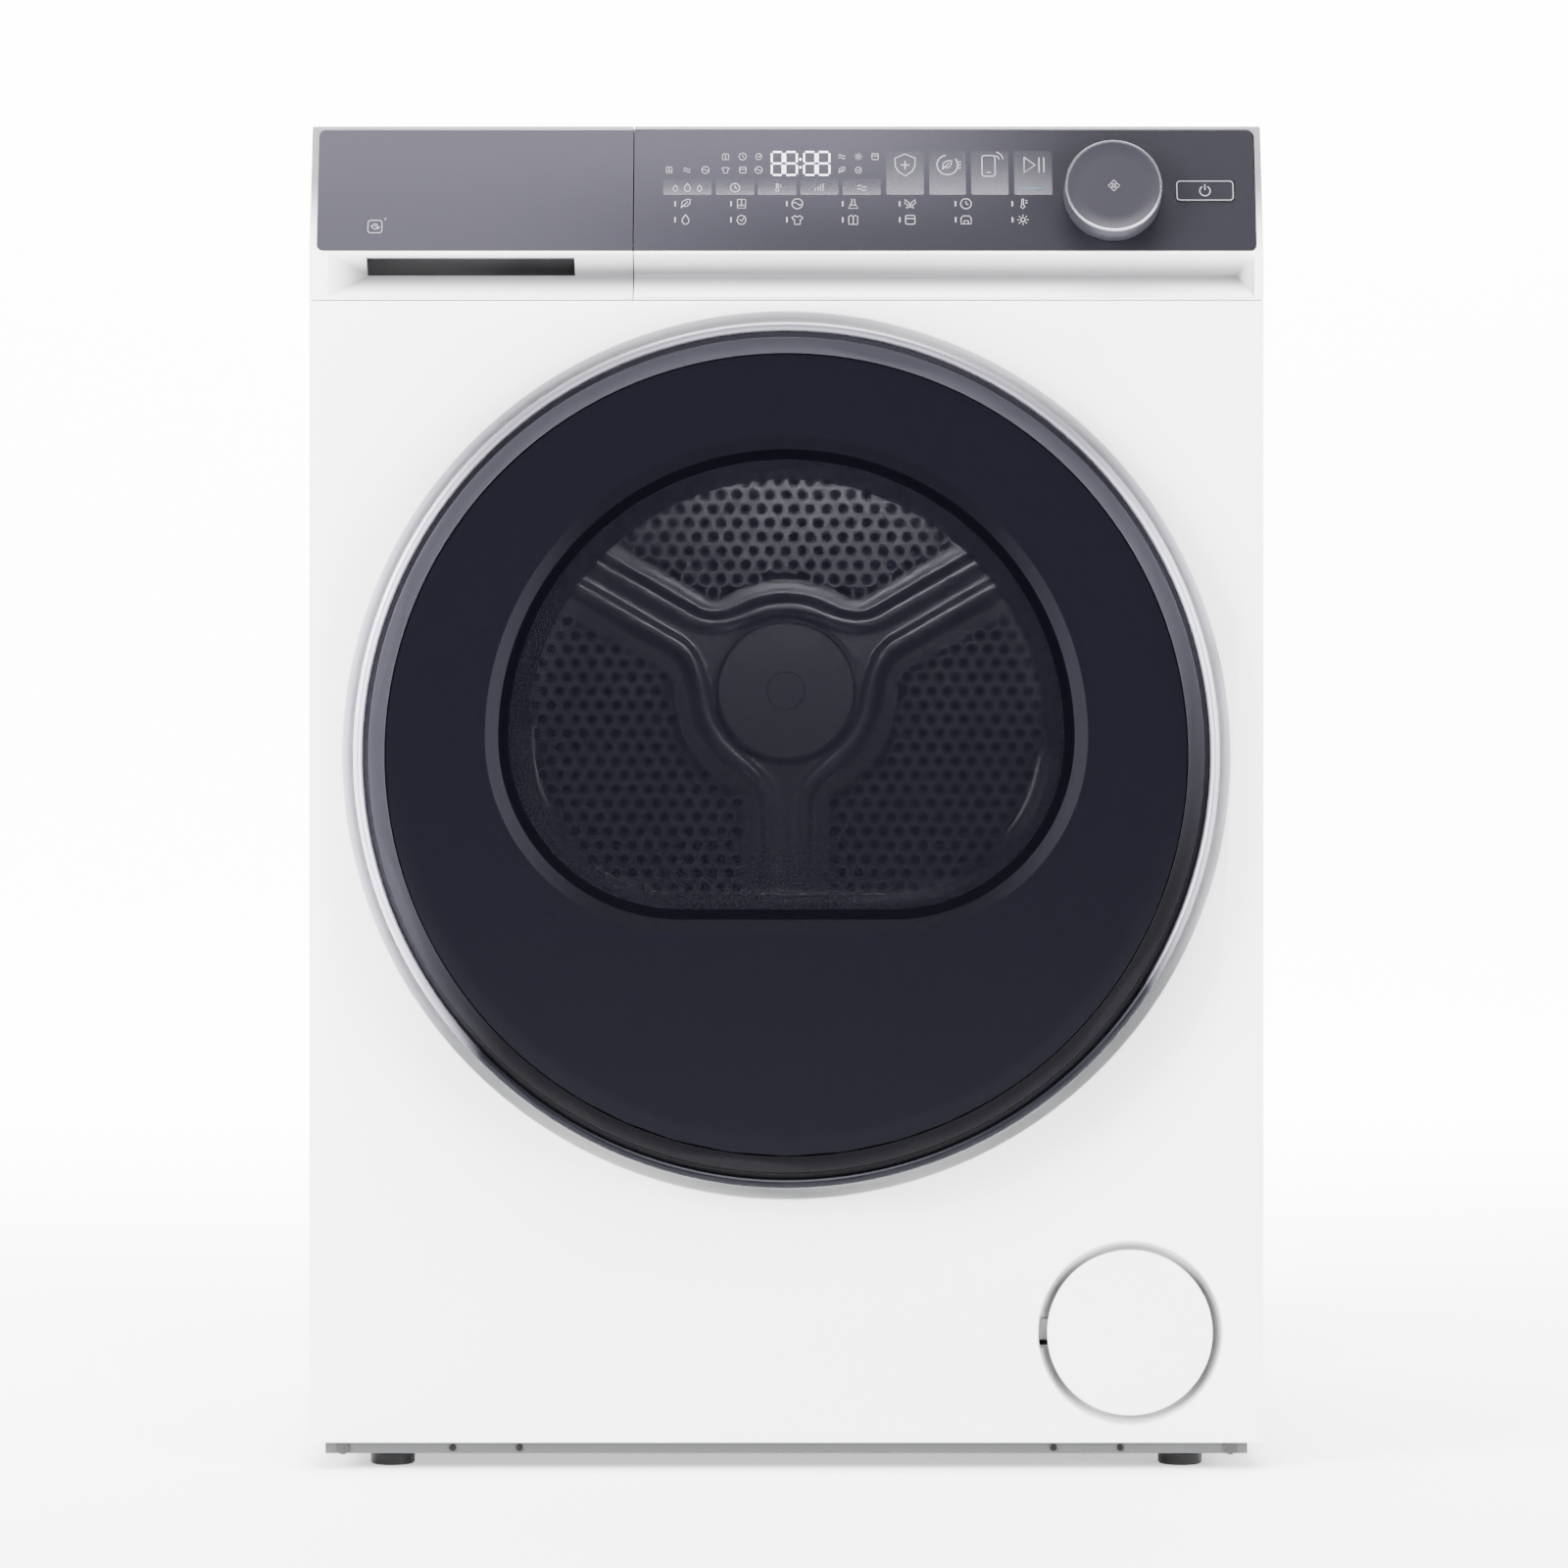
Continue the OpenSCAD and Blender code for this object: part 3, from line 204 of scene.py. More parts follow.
def softened(node, width, finish, body="cabinet", outer_only=False):
    """The same piece as a CAD node, with its sharp edges rounded as a fold or a mould rounds them.

    outer_only leaves the inner corners sharp, where rounding would add material beside a moving piece.
    """
    shape = bmesh.new()
    shape.from_mesh(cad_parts[node].data)
    bmesh.ops.remove_doubles(shape, verts=shape.verts, dist=1e-5)
    bmesh.ops.dissolve_limit(shape, angle_limit=math.radians(0.6), verts=shape.verts, edges=shape.edges)
    edges = [e for e in shape.edges if len(e.link_faces) == 2 and (e.is_convex or not outer_only)
             and e.calc_face_angle() > math.radians(FOLD_ANGLE)]
    bmesh.ops.bevel(shape, geom=edges, offset=width, segments=2, profile=0.5, affect="EDGES",
                    clamp_overlap=False)
    bmesh.ops.recalc_face_normals(shape, faces=shape.faces)
    mesh = bpy.data.meshes.new(node + "_finished")
    shape.to_mesh(mesh)
    shape.free()
    mesh.materials.clear()
    mesh.materials.append(finish.material)
    for face in mesh.polygons:
        face.material_index = 0
    mesh.shade_smooth()
    mesh.set_sharp_from_angle(angle=math.radians(SMOOTH_ANGLE))
    made = bpy.data.objects.new(node + "_finished", mesh)
    bpy.context.scene.collection.objects.link(made)
    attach(made, body)
    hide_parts(node)
    return made


def dress(finish, *nodes):
    for node in nodes:
        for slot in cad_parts[node].material_slots:
            slot.material = finish.material


FLAP_X, FLAP_Z = 0.216, 0.086
panel_coat = Finish("front_panel_coat", (0.86, 0.865, 0.87), 0.34, IOR=1.45, Coat_Roughness=0.2)
panel_coat.relief(panel_coat.noise(420, 1.0) * 0.7 + panel_coat.noise(1500, 0.0) * 0.3, 0.00012, 0.35)
aside = (panel_coat.along(0) - FLAP_X) * (panel_coat.along(0) - FLAP_X)
above = (panel_coat.along(2) - FLAP_Z) * (panel_coat.along(2) - FLAP_Z)
# Painted shade: the groove round the flap is darkened to grey, most at its left and right.
painted_groove_shade = 1 - panel_coat.ramp(aside + above, 0.0565 ** 2, 0.0592 ** 2)
sides = 0.6 + 0.4 * panel_coat.ramp(aside, 0.0004, 0.0022)
haze = panel_coat.noise(3.5, 3.0)
panel_coat.feed(Roughness=0.3 + 0.08 * haze,
                Base_Color=panel_coat.tint((0.87, 0.875, 0.88), (0.21, 0.21, 0.213), painted_groove_shade * sides))
softened("front_panel", 0.0007, panel_coat)
for sheet in ("left_side_panel", "right_side_panel"):
    softened(sheet, 0.0004, white_coat)
softened("top_panel", 0.0012, white_coat)

# ---- Base tray, plinth and its screws ------------------------------------------------
# The tray is moulded in grey polypropylene and carries everything heavy. Its front edge shows
# below the door panel as a low plinth, with four plugged holes and two screws at its ends. Just
# behind the plinth's wall the tray is painted black: painted shade.
tray_grey = Finish("tray_polypropylene", (0.10, 0.102, 0.105), 0.55, IOR=1.3)
tray_grey.relief(tray_grey.noise(900, 1.0), 0.00015, 0.4)
# Painted shade: the tray turns black in a band just behind the plinth's wall.
painted_plinth_shade = tray_grey.ramp(tray_grey.along(1), -0.2926,
                        -0.2915) * (1 - tray_grey.ramp(tray_grey.along(1), -0.27, -0.26))
tray_grey.feed(Roughness=0.45 + 0.2 * tray_grey.noise(30),
               Base_Color=tray_grey.tint((0.13, 0.132, 0.135), (0.002, 0.002, 0.002), painted_plinth_shade))
dress(tray_grey, "base_tray")

screw_steel = Finish("zinc_plated_steel", (0.2, 0.2, 0.21), 0.32, Metallic=1.0)
screw_steel.feed(Roughness=0.24 + 0.22 * screw_steel.noise(300),
                 Base_Color=screw_steel.tint((0.24, 0.24, 0.25), (0.15, 0.15, 0.15),
                                             screw_steel.noise(160)))


def turned(name, profile, centre, finish, count=32):
    """A turned piece about an axis along Y: profile is a list of (radius, y)."""
    points, faces = [], []
    for radius, y in profile:
        for k in range(count):
            a = 2 * math.pi * k / count
            points.append((centre[0] + radius * math.sin(a), y, centre[1] + radius * math.cos(a)))
    for i in range(len(profile) - 1):
        for k in range(count):
            n = (k + 1) % count
            faces.append((i * count + k, i * count + n, (i + 1) * count + n, (i + 1) * count + k))
    return part(name, points, faces, [finish])


dark_steel = Finish("phosphated_steel", (0.04, 0.04, 0.042), 0.5, Metallic=0.6)
dark_steel.feed(Roughness=0.42 + 0.2 * dark_steel.noise(300))
for side in (-1, 1):
    screw = turned("plinth_screw_%s" % ("left" if side < 0 else "right"),
                   [(0.0001, -0.2945), (0.0012, -0.2945), (0.0014, -0.2938), (0.0034, -0.2938),
                    (0.0042, -0.293), (0.0042, -0.2915)],
                   (side * 0.279, 0.0135), dark_steel)
    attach(screw, "cabinet")

plug_rubber = Finish("plug_rubber", (0.002, 0.002, 0.0022), 0.7, IOR=1.3)
plug_rubber.feed(Roughness=0.6 + 0.2 * plug_rubber.noise(900))
for name, x in (("far_left", -0.21), ("left", -0.168), ("right", 0.168), ("far_right", 0.21)):
    plug = turned("plinth_plug_" + name,
                  [(0.0001, -0.2932), (0.0018, -0.2932), (0.0021, -0.293), (0.0021, -0.2902),
                   (0.0001, -0.2902)],
                  (x, 0.0136), plug_rubber)
    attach(plug, "cabinet")

# ---- Feet ----------------------------------------------------------------------------
# Four levelling feet: a black glass-filled nylon pad with a hexagon on a steel stud, screwed
# into the bosses of the tray.
foot_black = Finish("foot_nylon", (0.012, 0.012, 0.013), 0.5, IOR=1.3)
foot_black.relief(foot_black.noise(1400, 1.0), 0.0002, 0.5)
foot_black.feed(Roughness=0.42 + 0.2 * foot_black.noise(60))
dress(foot_black, "foot_front_left", "foot_front_right", "foot_rear_left", "foot_rear_right")

# ---- Back of the machine -------------------------------------------------------------
# Bare zinc coated steel: a flat rear panel with air slots, and a pressed duct cover that leads
# the warm air up to the drum. Both are held by cross-head screws.
zinc_sheet = Finish("zinc_coated_sheet", (0.22, 0.225, 0.23), 0.42, Metallic=1.0)
spangle = zinc_sheet.node("ShaderNodeTexVoronoi", {}, {"Vector": zinc_sheet.place, "Scale": 170.0}, "Color")
flake = zinc_sheet.node("ShaderNodeSeparateColor", {}, {0: spangle}, 0)
zinc_sheet.feed(Roughness=0.34 + 0.16 * flake,
                Base_Color=zinc_sheet.tint((0.25, 0.255, 0.26), (0.16, 0.165, 0.17), flake))
zinc_sheet.relief(zinc_sheet.noise(60, 2.0), 0.0004, 0.15)
dress(zinc_sheet, "rear_panel", "idler_bracket")
softened("rear_duct_cover", 0.0006, zinc_sheet)
dress(screw_steel, "cabinet_screws", "door_catch", "door_hook", "door_hinge_pin", "door_hinge_bracket")

gland_black = Finish("gland_nylon", (0.03, 0.03, 0.032), 0.42)
gland_black.relief(gland_black.noise(900, 1.0), 0.0002, 0.4)
gland_black.feed(Roughness=0.36 + 0.16 * gland_black.noise(90))
dress(gland_black, "mains_inlet_gland")

# ---- Console and drawer front --------------------------------------------------------
# Two white ABS mouldings side by side. Below the grey panel a long hollow runs across both, with
# slanted ends; the left moulding is the front of the tank drawer and has a finger slot. Their
# white is painted darker with depth into the hollow: painted shade.
white_abs = Finish("white_abs", (0.86, 0.862, 0.87), 0.4, IOR=1.5)
grain = white_abs.noise(700, 1.0)
white_abs.relief(grain, 0.0001, 0.3)
white_abs.feed(Roughness=0.36 + 0.08 * white_abs.noise(8),
               Base_Color=white_abs.tint((0.88, 0.882, 0.888), (0.84, 0.842, 0.85), white_abs.noise(4)))
hollow_abs = Finish("white_abs_painted_hollow_shade", (0.6, 0.6, 0.61), 0.44, IOR=1.4)
# Painted shade: the white darkens towards black with depth into the hollow.
painted_hollow_shade = hollow_abs.ramp(hollow_abs.along(1) + 0.0005 * hollow_abs.noise(9), -0.2965, -0.2805)
hollow_abs.feed(Roughness=0.4 + 0.08 * hollow_abs.noise(8),
                Base_Color=hollow_abs.tint((0.84, 0.842, 0.848), (0.13, 0.13, 0.135), painted_hollow_shade))
hollow_abs.relief(hollow_abs.noise(700, 1.0), 0.0001, 0.3)

softened("console_frame", 0.0005, hollow_abs)
softened("drawer_front", 0.00015, hollow_abs, body="tank_drawer")

# ---- Grey control panel --------------------------------------------------------------
# Two thin lacquered plates, one on the drawer and one on the console, leaning back by 15
# degrees. The lacquer has a fine metal flake and painted light and shade: its grey is painted darker to the
# right and below.
LEAN = math.radians(15)


def on_panel(x, z, out):
    """Millimetres along, up and out of the leaning panel, as a point of the machine."""
    return (x / 1000, -0.2938 + (z * math.sin(LEAN) - out * math.cos(LEAN)) / 1000,
            0.766 + (z * math.cos(LEAN) + out * math.sin(LEAN)) / 1000)


def panel_lacquer(name, light, deep, roughness):
    lacquer = Finish(name, light, roughness, Metallic=0.2, IOR=1.25)
    # Painted light and shade: lighter at the upper left, darker to the right and below.
    across = lacquer.ramp(lacquer.along(0), 0.02, 0.22)
    down = 1 - lacquer.ramp(lacquer.along(2), 0.768, 0.846)
    sparkle = lacquer.noise(2600, 0.0)
    fade = 0.22 + 0.62 * lacquer.ramp(lacquer.along(0), -0.22, 0.06)
    shade = 1 - (1 - across) * (1 - down * fade) + 0.10 * sparkle - 0.05
    lacquer.feed(Base_Color=lacquer.tint(light, deep, shade), Roughness=roughness - 0.05 + 0.1 * sparkle)
    return lacquer.relief(lacquer.noise(1900, 0.0), 0.00004, 0.25)


panel_grey = panel_lacquer("panel_lacquer", (0.0350, 0.0332, 0.0435), (0.0088, 0.0084, 0.0120), 0.42)
dress(panel_grey, "control_fascia", "drawer_fascia", "power_button")

# ---- Printed marks, touch fields and display -----------------------------------------
# Pale screen print under the lacquer: programme pictures, touch fields that brighten towards
# their lower edge, and a four-digit display that shows eights. The print also glows faintly by itself, which
# is painted light.
# Painted light: the pale print has a faint glow of its own.
print_with_painted_glow = Finish("pale_print_painted_glow", (0.20, 0.20, 0.21), 0.45, Emission_Strength=0.45)
print_with_painted_glow.shader.inputs["Emission Color"].default_value = (0.8, 0.8, 0.84, 1)
print_with_painted_glow.feed(Base_Color=print_with_painted_glow.tint((0.17, 0.17, 0.178), (0.12, 0.12, 0.127),
                                           print_with_painted_glow.noise(1200)))
digit_white = Finish("display_white", (0.5, 0.5, 0.51), 0.4, Emission_Strength=2.0)
digit_white.shader.inputs["Emission Color"].default_value = (1, 1, 1, 1)
digit_white.feed(Roughness=0.35 + 0.1 * digit_white.noise(700))
field_glow = Finish("touch_field", (0.10, 0.098, 0.113), 0.4, IOR=1.3)
height = field_glow.node("ShaderNodeTexCoord", {}, {}, "Generated")
height = field_glow.node("ShaderNodeSeparateXYZ", {}, {0: height}, 2)
field_glow.feed(Alpha=0.1 + 0.62 * (1 - height) ** 1.6, Roughness=0.36 + 0.08 * field_glow.noise(1500))
bar_blue = Finish("start_bar_blue", (0.035, 0.062, 0.085), 0.4)
bar_blue.feed(Roughness=0.35 + 0.1 * bar_blue.noise(900))


class Print:
    """Thin flat marks in millimetres of the panel, gathered into one piece."""

    def __init__(self, out):
        self.out, self.points, self.faces = out, [], []

    def flat(self, outline):
        start = len(self.points)
        self.points += [on_panel(x, z, self.out) for x, z in outline]
        self.faces.append(tuple(range(start, start + len(outline))))

    def line(self, points, width, closed=False):
        count = len(points)
        sides = []
        for i, (x, z) in enumerate(points):
            before = points[i - 1] if i or closed else points[0]
            after = points[(i + 1) % count] if i < count - 1 or closed else points[-1]
            dx, dz = after[0] - before[0], after[1] - before[1]
            length = math.hypot(dx, dz) or 1
            nx, nz = -dz / length * width / 2, dx / length * width / 2
            sides.append(((x + nx, z + nz), (x - nx, z - nz)))
        for i in range(count if closed else count - 1):
            a, b = sides[i], sides[(i + 1) % count]
            self.flat([a[0], a[1], b[1], b[0]])

    def arc(self, x, z, r, width, first=0, last=360, squash=1.0):
        steps = max(6, int(abs(last - first) / 15))
        turn = [math.radians(first + (last - first) * i / steps)
                for i in range(steps + (0 if last - first == 360 else 1))]
        self.line([(x + r * math.cos(a), z + squash * r * math.sin(a)) for a in turn], width,
                  last - first == 360)

    def done(self, name, finish, body):
        made = part(name, self.points, self.faces, [finish])
        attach(made, body)
        return made


def round_box(x0, x1, z0, z1, r, steps=4):
    corners = ((x1 - r, z1 - r, 0), (x0 + r, z1 - r, 90), (x0 + r, z0 + r, 180), (x1 - r, z0 + r, 270))
    return [(cx + r * math.cos(math.radians(a + 90 * i / steps)),
             cz + r * math.sin(math.radians(a + 90 * i / steps)))
            for cx, cz, a in corners for i in range(steps + 1)]


PICTURES = {
    "drop": [[(0, .5), (.3, .05), (.3, -.2), (.12, -.42), (-.12, -.42), (-.3, -.2), (-.3, .05), (0, .5)]],
    "shirt": [[(-.2, .4), (-.5, .2), (-.36, 0), (-.26, .06), (-.26, -.44), (.26, -.44), (.26, .06),
               (.36, 0), (.5, .2),
               (.2, .4), (.08, .28), (-.08, .28), (-.2, .4)]],
    "box": [round_box(-.42, .42, -.42, .42, .16) + [(.42, .26)], [(-.42, .1), (.42, .1)]],
    "clock": ["ring", [(0, .26), (0, 0), (.2, -.1)]],
    "wave": [[(-.46, .16), (-.24, .3), (0, .16), (.24, .02), (.46, .16)],
             [(-.46, -.2), (-.24, -.06), (0, -.2), (.24, -.34), (.46, -.2)]],
    "leaf": [[(-.4, -.4), (-.3, .2), (.1, .42), (.44, .4), (.36, 0), (.1, -.26), (-.22, -.22)],
             [(-.4, -.4), (.2, .2)]],
    "towel": [[(-.36, .42), (.36, .42), (.36, -.42), (-.36, -.42), (-.36, .42)],
              [(-.36, -.16), (.36, -.16)], [(0, .42), (0, -.16)]],
    "ball": ["ring", [(-.5, 0), (-.2, .14), (.2, -.14), (.5, 0)]],
    "flask": [[(-.12, .46), (-.12, .12), (-.42, -.44), (.42, -.44), (.12, .12), (.12, .46)],
              [(-.26, -.14), (.26, -.14)]],
    "sun": ["small", [(0, .5), (0, .34)], [(0, -.5), (0, -.34)], [(.5, 0), (.34, 0)], [(-.5, 0), (-.34, 0)],
            [(.35, .35), (.25, .25)],
            [(-.35, -.35), (-.25, -.25)], [(-.35, .35), (-.25, .25)], [(.35, -.35), (.25, -.25)]],
    "wings": [[(0, -.3), (-.1, .1), (-.46, .4), (-.46, 0), (-.2, -.1), (-.34, -.42), (0, -.3), (.34, -.42),
               (.2, -.1), (.46, 0),
               (.46, .4), (.1, .1), (0, -.3)]],
    "shade": [[(-.46, .1), (-.3, .36), (.3, .36), (.46, .1), (.46, -.4), (-.46, -.4), (-.46, .1)],
              [(-.2, -.4), (-.2, -.1), (.2, -.1), (.2, -.4)]],
    "coat": [[(-.14, .44), (-.4, .3), (-.4, -.44), (.4, -.44), (.4, .3), (.14, .44), (0, .2), (-.14, .44)],
             [(0, .2), (0, -.44)]],
    "pod": [[(-.4, -.1), (-.3, .3), (0, .44), (.3, .3), (.4, -.1), (.2, -.42), (-.2, -.42), (-.4, -.1)],
            [(-.16, .02), (0, -.16), (.2, .16)]],
    "bars": [[(-.4, -.36), (-.4, .0)], [(-.14, -.36), (-.14, .16)], [(.12, -.36), (.12, .3)],
             [(.38, -.36), (.38, .44)]],
    "heat": [[(-.08, .44), (-.08, -.1), (-.2, -.3), (0, -.46), (.2, -.3), (.08, -.1), (.08, .44),
              (-.08, .44)], [(.26, .3), (.42, .3)], [(.26, .08), (.42, .08)]],
}


def picture(marks, name, x, z, size, width=0.5):
    for shape in PICTURES[name]:
        if shape == "ring":
            marks.arc(x, z, size * 0.48, width)
        elif shape == "small":
            marks.arc(x, z, size * 0.2, width)
        else:
            marks.line([(x + size * px, z + size * pz) for px, pz in shape], width)


small_fields, large_fields = Print(0.24), Print(0.24)
for x0, x1 in ((-77.6, -47.3), (-44.5, -20.3), (-17.9, 6.4), (8.7, 32.9), (35.4, 59.6)):
    small_fields.flat(round_box(x0, x1, 37.8, 48.6, 0.9))
for x0, x1 in ((63.1, 86.7), (90.2, 113.2), (116.7, 140.2), (143.8, 167.8)):
    large_fields.flat(round_box(x0, x1, 37.9, 67.4, 1.1))
small_fields.done("touch_fields_small", field_glow, "cabinet")
large_fields.done("touch_fields_large", field_glow, "cabinet")

marks = Print(0.3)
for x, name in ((-62.4, "drop"), (-32.4, "clock"), (-5.7, "heat"), (20.8, "bars"), (47.5, "wave")):
    picture(marks, name, x, 42.6, 6.0)
for dx in (-7.6, 7.6):
    picture(marks, "drop", -62.4 + dx, 42.2, 4.6, 0.45)
marks.line([(68.6, 62.6), (75, 65.4), (81.4, 62.6), (81.2, 57.0), (79, 53.2), (75, 50.6), (71, 53.2),
            (68.8, 57.0)], 0.6, True)
marks.line([(75, 60.8), (75, 55.2)], 0.7)
marks.line([(72.2, 58.0), (77.8, 58.0)], 0.7)
marks.arc(101.7, 58, 6.6, 0.6, 100, 400)
picture(marks, "leaf", 101.4, 58, 7.0, 0.55)
for dz in (-2, 0, 2):
    marks.line([(107.4, 57.6 + dz), (110.4, 58.2 + dz)], 0.5)
marks.line(round_box(123.6, 131.8, 50.4, 64.4, 1.6), 0.6, True)
marks.line([(126.4, 53.0), (129, 53.0)], 0.5)
for r in (3.0, 5.4):
    marks.arc(131.4, 61.4, r, 0.55, 5, 75)
marks.line([(150.2, 63.2), (150.2, 52.8), (157, 58), (150.2, 63.2)], 0.6)
for x in (159.6, 162.6):
    marks.line([(x, 63), (x, 53)], 0.65)
status = ["coat", "clock", "pod", "shirt", "box", "ball", "towel", "wave", "ball", "wave", "sun", "box",
          "leaf", "pod"]
places = [(-38.4, 63.7), (-27.6, 63.7), (-17.5, 63.7), (-38.4, 54.6), (-27.5, 54.6), (-17.5, 54.6),
          (-74.0, 54.6), (-62.8, 54.6),
          (-51.1, 54.6), (35.0, 63.7), (45.5, 63.7), (56.1, 63.7), (35.0, 54.6), (45.5, 54.6)]
for name, (x, z) in zip(status, places):
    picture(marks, name, x, z, 4.8, 0.42)
programmes = ["leaf", "drop", "towel", "pod", "ball", "shirt", "flask", "coat", "wings", "box", "clock",
              "shade", "heat", "sun"]
for k, x in enumerate((-70.1, -34.9, 0.3, 35.5, 71.4, 106.6, 142.4)):
    for row, z in enumerate((31.8, 21.0)):
        marks.flat([(x - 0.45, z - 1.7), (x + 0.45, z - 1.7), (x + 0.45, z + 1.7), (x - 0.45, z + 1.7)])
        picture(marks, programmes[2 * k + row], x + 6.6, z, 7.0, 0.5)
marks.done("panel_print", print_with_painted_glow, "cabinet")
bar = Print(0.3)
bar.flat([(148.6, 41.6), (163.2, 41.6), (163.2, 42.9), (148.6, 42.9)])
bar.done("start_bar", bar_blue, "cabinet")

digits = Print(0.32)
for x0, x1 in ((-9.2, -2.3), (-0.8, 6.6), (11.2, 18.4), (19.8, 27.2)):
    z0, zm, z1 = 51.2, 59.0, 66.8
    for a, b in (((x0, z1), (x1, z1)), ((x0, zm), (x1, zm)), ((x0, z0), (x1, z0)), ((x0, zm), (x0, z1)),
                 ((x1, zm), (x1, z1)),
                 ((x0, z0), (x0, zm)), ((x1, z0), (x1, zm))):
        gap = 0.8 / math.hypot(b[0] - a[0], b[1] - a[1])
        ends = [(a[0] + (b[0] - a[0]) * t, a[1] + (b[1] - a[1]) * t) for t in (gap, 1 - gap)]
        digits.line(ends, 1.15)
for z in (56.4, 61.8):
    digits.flat(round_box(8.2, 9.6, z - 0.7, z + 0.7, 0.3, 2))
digits.done("display_digits", digit_white, "cabinet")

tank_mark = Print(0.3)
tank_mark.line(round_box(-263.4, -254.6, 12.2, 20.6, 1.8), 0.5, True)
tank_mark.line([(-261.6, 16.4), (-259.8, 17.8), (-258.4, 16.4), (-257.0, 15.0), (-255.8, 16.4)], 0.5)
tank_mark.arc(-258.9, 16.4, 1.7, 0.45)
tank_mark.line([(-253.0, 20.8), (-252.0, 22.2)], 0.5)
tank_mark.done("tank_mark", print_with_painted_glow, "tank_drawer")

power_mark = Print(0.98)
power_mark.line(round_box(246.3, 281.7, 34.0, 46.8, 2.2), 0.5, True)
power_mark.arc(264, 40.2, 3.3, 0.6, 120, 420)
power_mark.line([(264, 40.8), (264, 44.6)], 0.6)
power_mark.done("power_mark", print_with_painted_glow, "power_key")

# ---- Dial ----------------------------------------------------------------------------
# A turned aluminium cap over a plastic knob. Its face is finely turned, with a bright bevel,
# and it stands 18 mm out of the panel on a spindle.
DIAL_X, DIAL_Z = 205.4, 37
# The face carries the panel's painted shade, darker to the right and below.
dial_face = panel_lacquer("dial_face", (0.040, 0.038, 0.050), (0.018, 0.0172, 0.0225), 0.36)
dial_rim = Finish("dial_bevel", (0.26, 0.26, 0.29), 0.24, Metallic=0.9)
dial_rim.feed(Roughness=0.2 + 0.1 * dial_rim.noise(900))
dial_side = Finish("dial_side", (0.04, 0.039, 0.05), 0.4, Metallic=0.5)
dial_side.relief(dial_side.noise(1500, 0.0, (1, 0.05, 1)), 0.0001, 0.4)
dial_side.feed(Roughness=0.34 + 0.12 * dial_side.noise(700))
cap = [(0.05, 17.7), (9, 17.7), (20, 17.75), (29.0, 17.8), (29.3, 18.0), (30.0, 18.0), (30.35, 17.7),
       (30.5, 17.2), (30.8, 1.6), (30.4, 1.2),
       (12, 1.2), (3.3, 1.2), (3.3, -12.5), (0.05, -12.5)]
count = 144
points = [on_panel(DIAL_X + r * math.sin(2 * math.pi * k / count),
                   DIAL_Z + r * math.cos(2 * math.pi * k / count), out)
          for r, out in cap for k in range(count)]
faces = [(i * count + k, i * count + (k + 1) % count, (i + 1) * count + (k + 1) % count,
          (i + 1) * count + k)
         for i in range(len(cap) - 1) for k in range(count)]
dial = part("dial_cap", points, faces, [dial_face, dial_rim, dial_side])
for i, face in enumerate(dial.data.polygons):
    face.material_index = (0, 0, 0, 1, 1, 1, 1, 2, 2, 2, 2, 2, 2)[i // count]
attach(dial, "dial")
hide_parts("dial_knob")
dial_mark = Print(18.05 - 0.25)
for x, z in ((0, 2.1), (0, -2.1), (2.1, 0), (-2.1, 0)):
    cx, cz = DIAL_X + x, DIAL_Z + z
    dial_mark.line([(cx, cz + 1.5), (cx + 1.5, cz), (cx, cz - 1.5), (cx - 1.5, cz)], 0.4, True)
dial_mark.done("dial_mark", print_with_painted_glow, "dial")

# ---- Filter flap ---------------------------------------------------------------------
# A round white door at the lower right, on a hidden bent hinge arm. Behind it sits the filter
# of the heat exchanger: a moulded frame with blue foam at its far end.
softened("filter_flap", 0.0004, white_abs, body="flap", outer_only=True)
frame_grey = Finish("light_grey_abs", (0.66, 0.67, 0.69), 0.5)
frame_grey.relief(frame_grey.noise(1100, 1.0), 0.00012, 0.4)
frame_grey.feed(Roughness=0.42 + 0.16 * frame_grey.noise(25))
dress(frame_grey, "flap_frame", "drum_lifters", "drawer_housing", "front_bulkhead")
foam_blue = Finish("filter_foam", (0.10, 0.17, 0.32), 0.8)
pores = foam_blue.node("ShaderNodeTexVoronoi", {}, {"Vector": foam_blue.place, "Scale": 520.0}, "Distance")
foam_blue.relief(pores, 0.0008, 0.8)
foam_blue.feed(Base_Color=foam_blue.tint((0.05, 0.09, 0.2), (0.14, 0.22, 0.4), pores))
dress(foam_blue, "heat_exchanger_filter")

# ---- Door ring and bezel -------------------------------------------------------------
# The door is a round moulded frame with a silver lacquered ring, a dark groove and a darker
# chamfered bezel that holds the glass. The lacquer has painted light and shade: it is painted darker below, to
# the right and at its top, and lighter at its flanks.


def ring_lacquer(name, light, deep, low, shine, crown):
    lacquer = Finish(name, light, shine, Metallic=0.55, IOR=1.3)
    # Painted light and shade: darker below, to the right and at the top, lighter at the flanks.
    flank = lacquer.ramp(lacquer.along(0) * lacquer.along(0), 0.028, 0.066)
    painted_ring_shade = lacquer.ramp(lacquer.along(2) * -1 + 0.35 * lacquer.along(0), -0.52, low) + crown * (1 - flank)
    sparkle = lacquer.noise(2400, 0.0)
    lacquer.feed(Base_Color=lacquer.tint(light, deep, painted_ring_shade + 0.08 * sparkle),
                 Roughness=shine - 0.06 + 0.12 * sparkle)
    return lacquer.relief(lacquer.noise(1700, 0.0), 0.00004, 0.25)


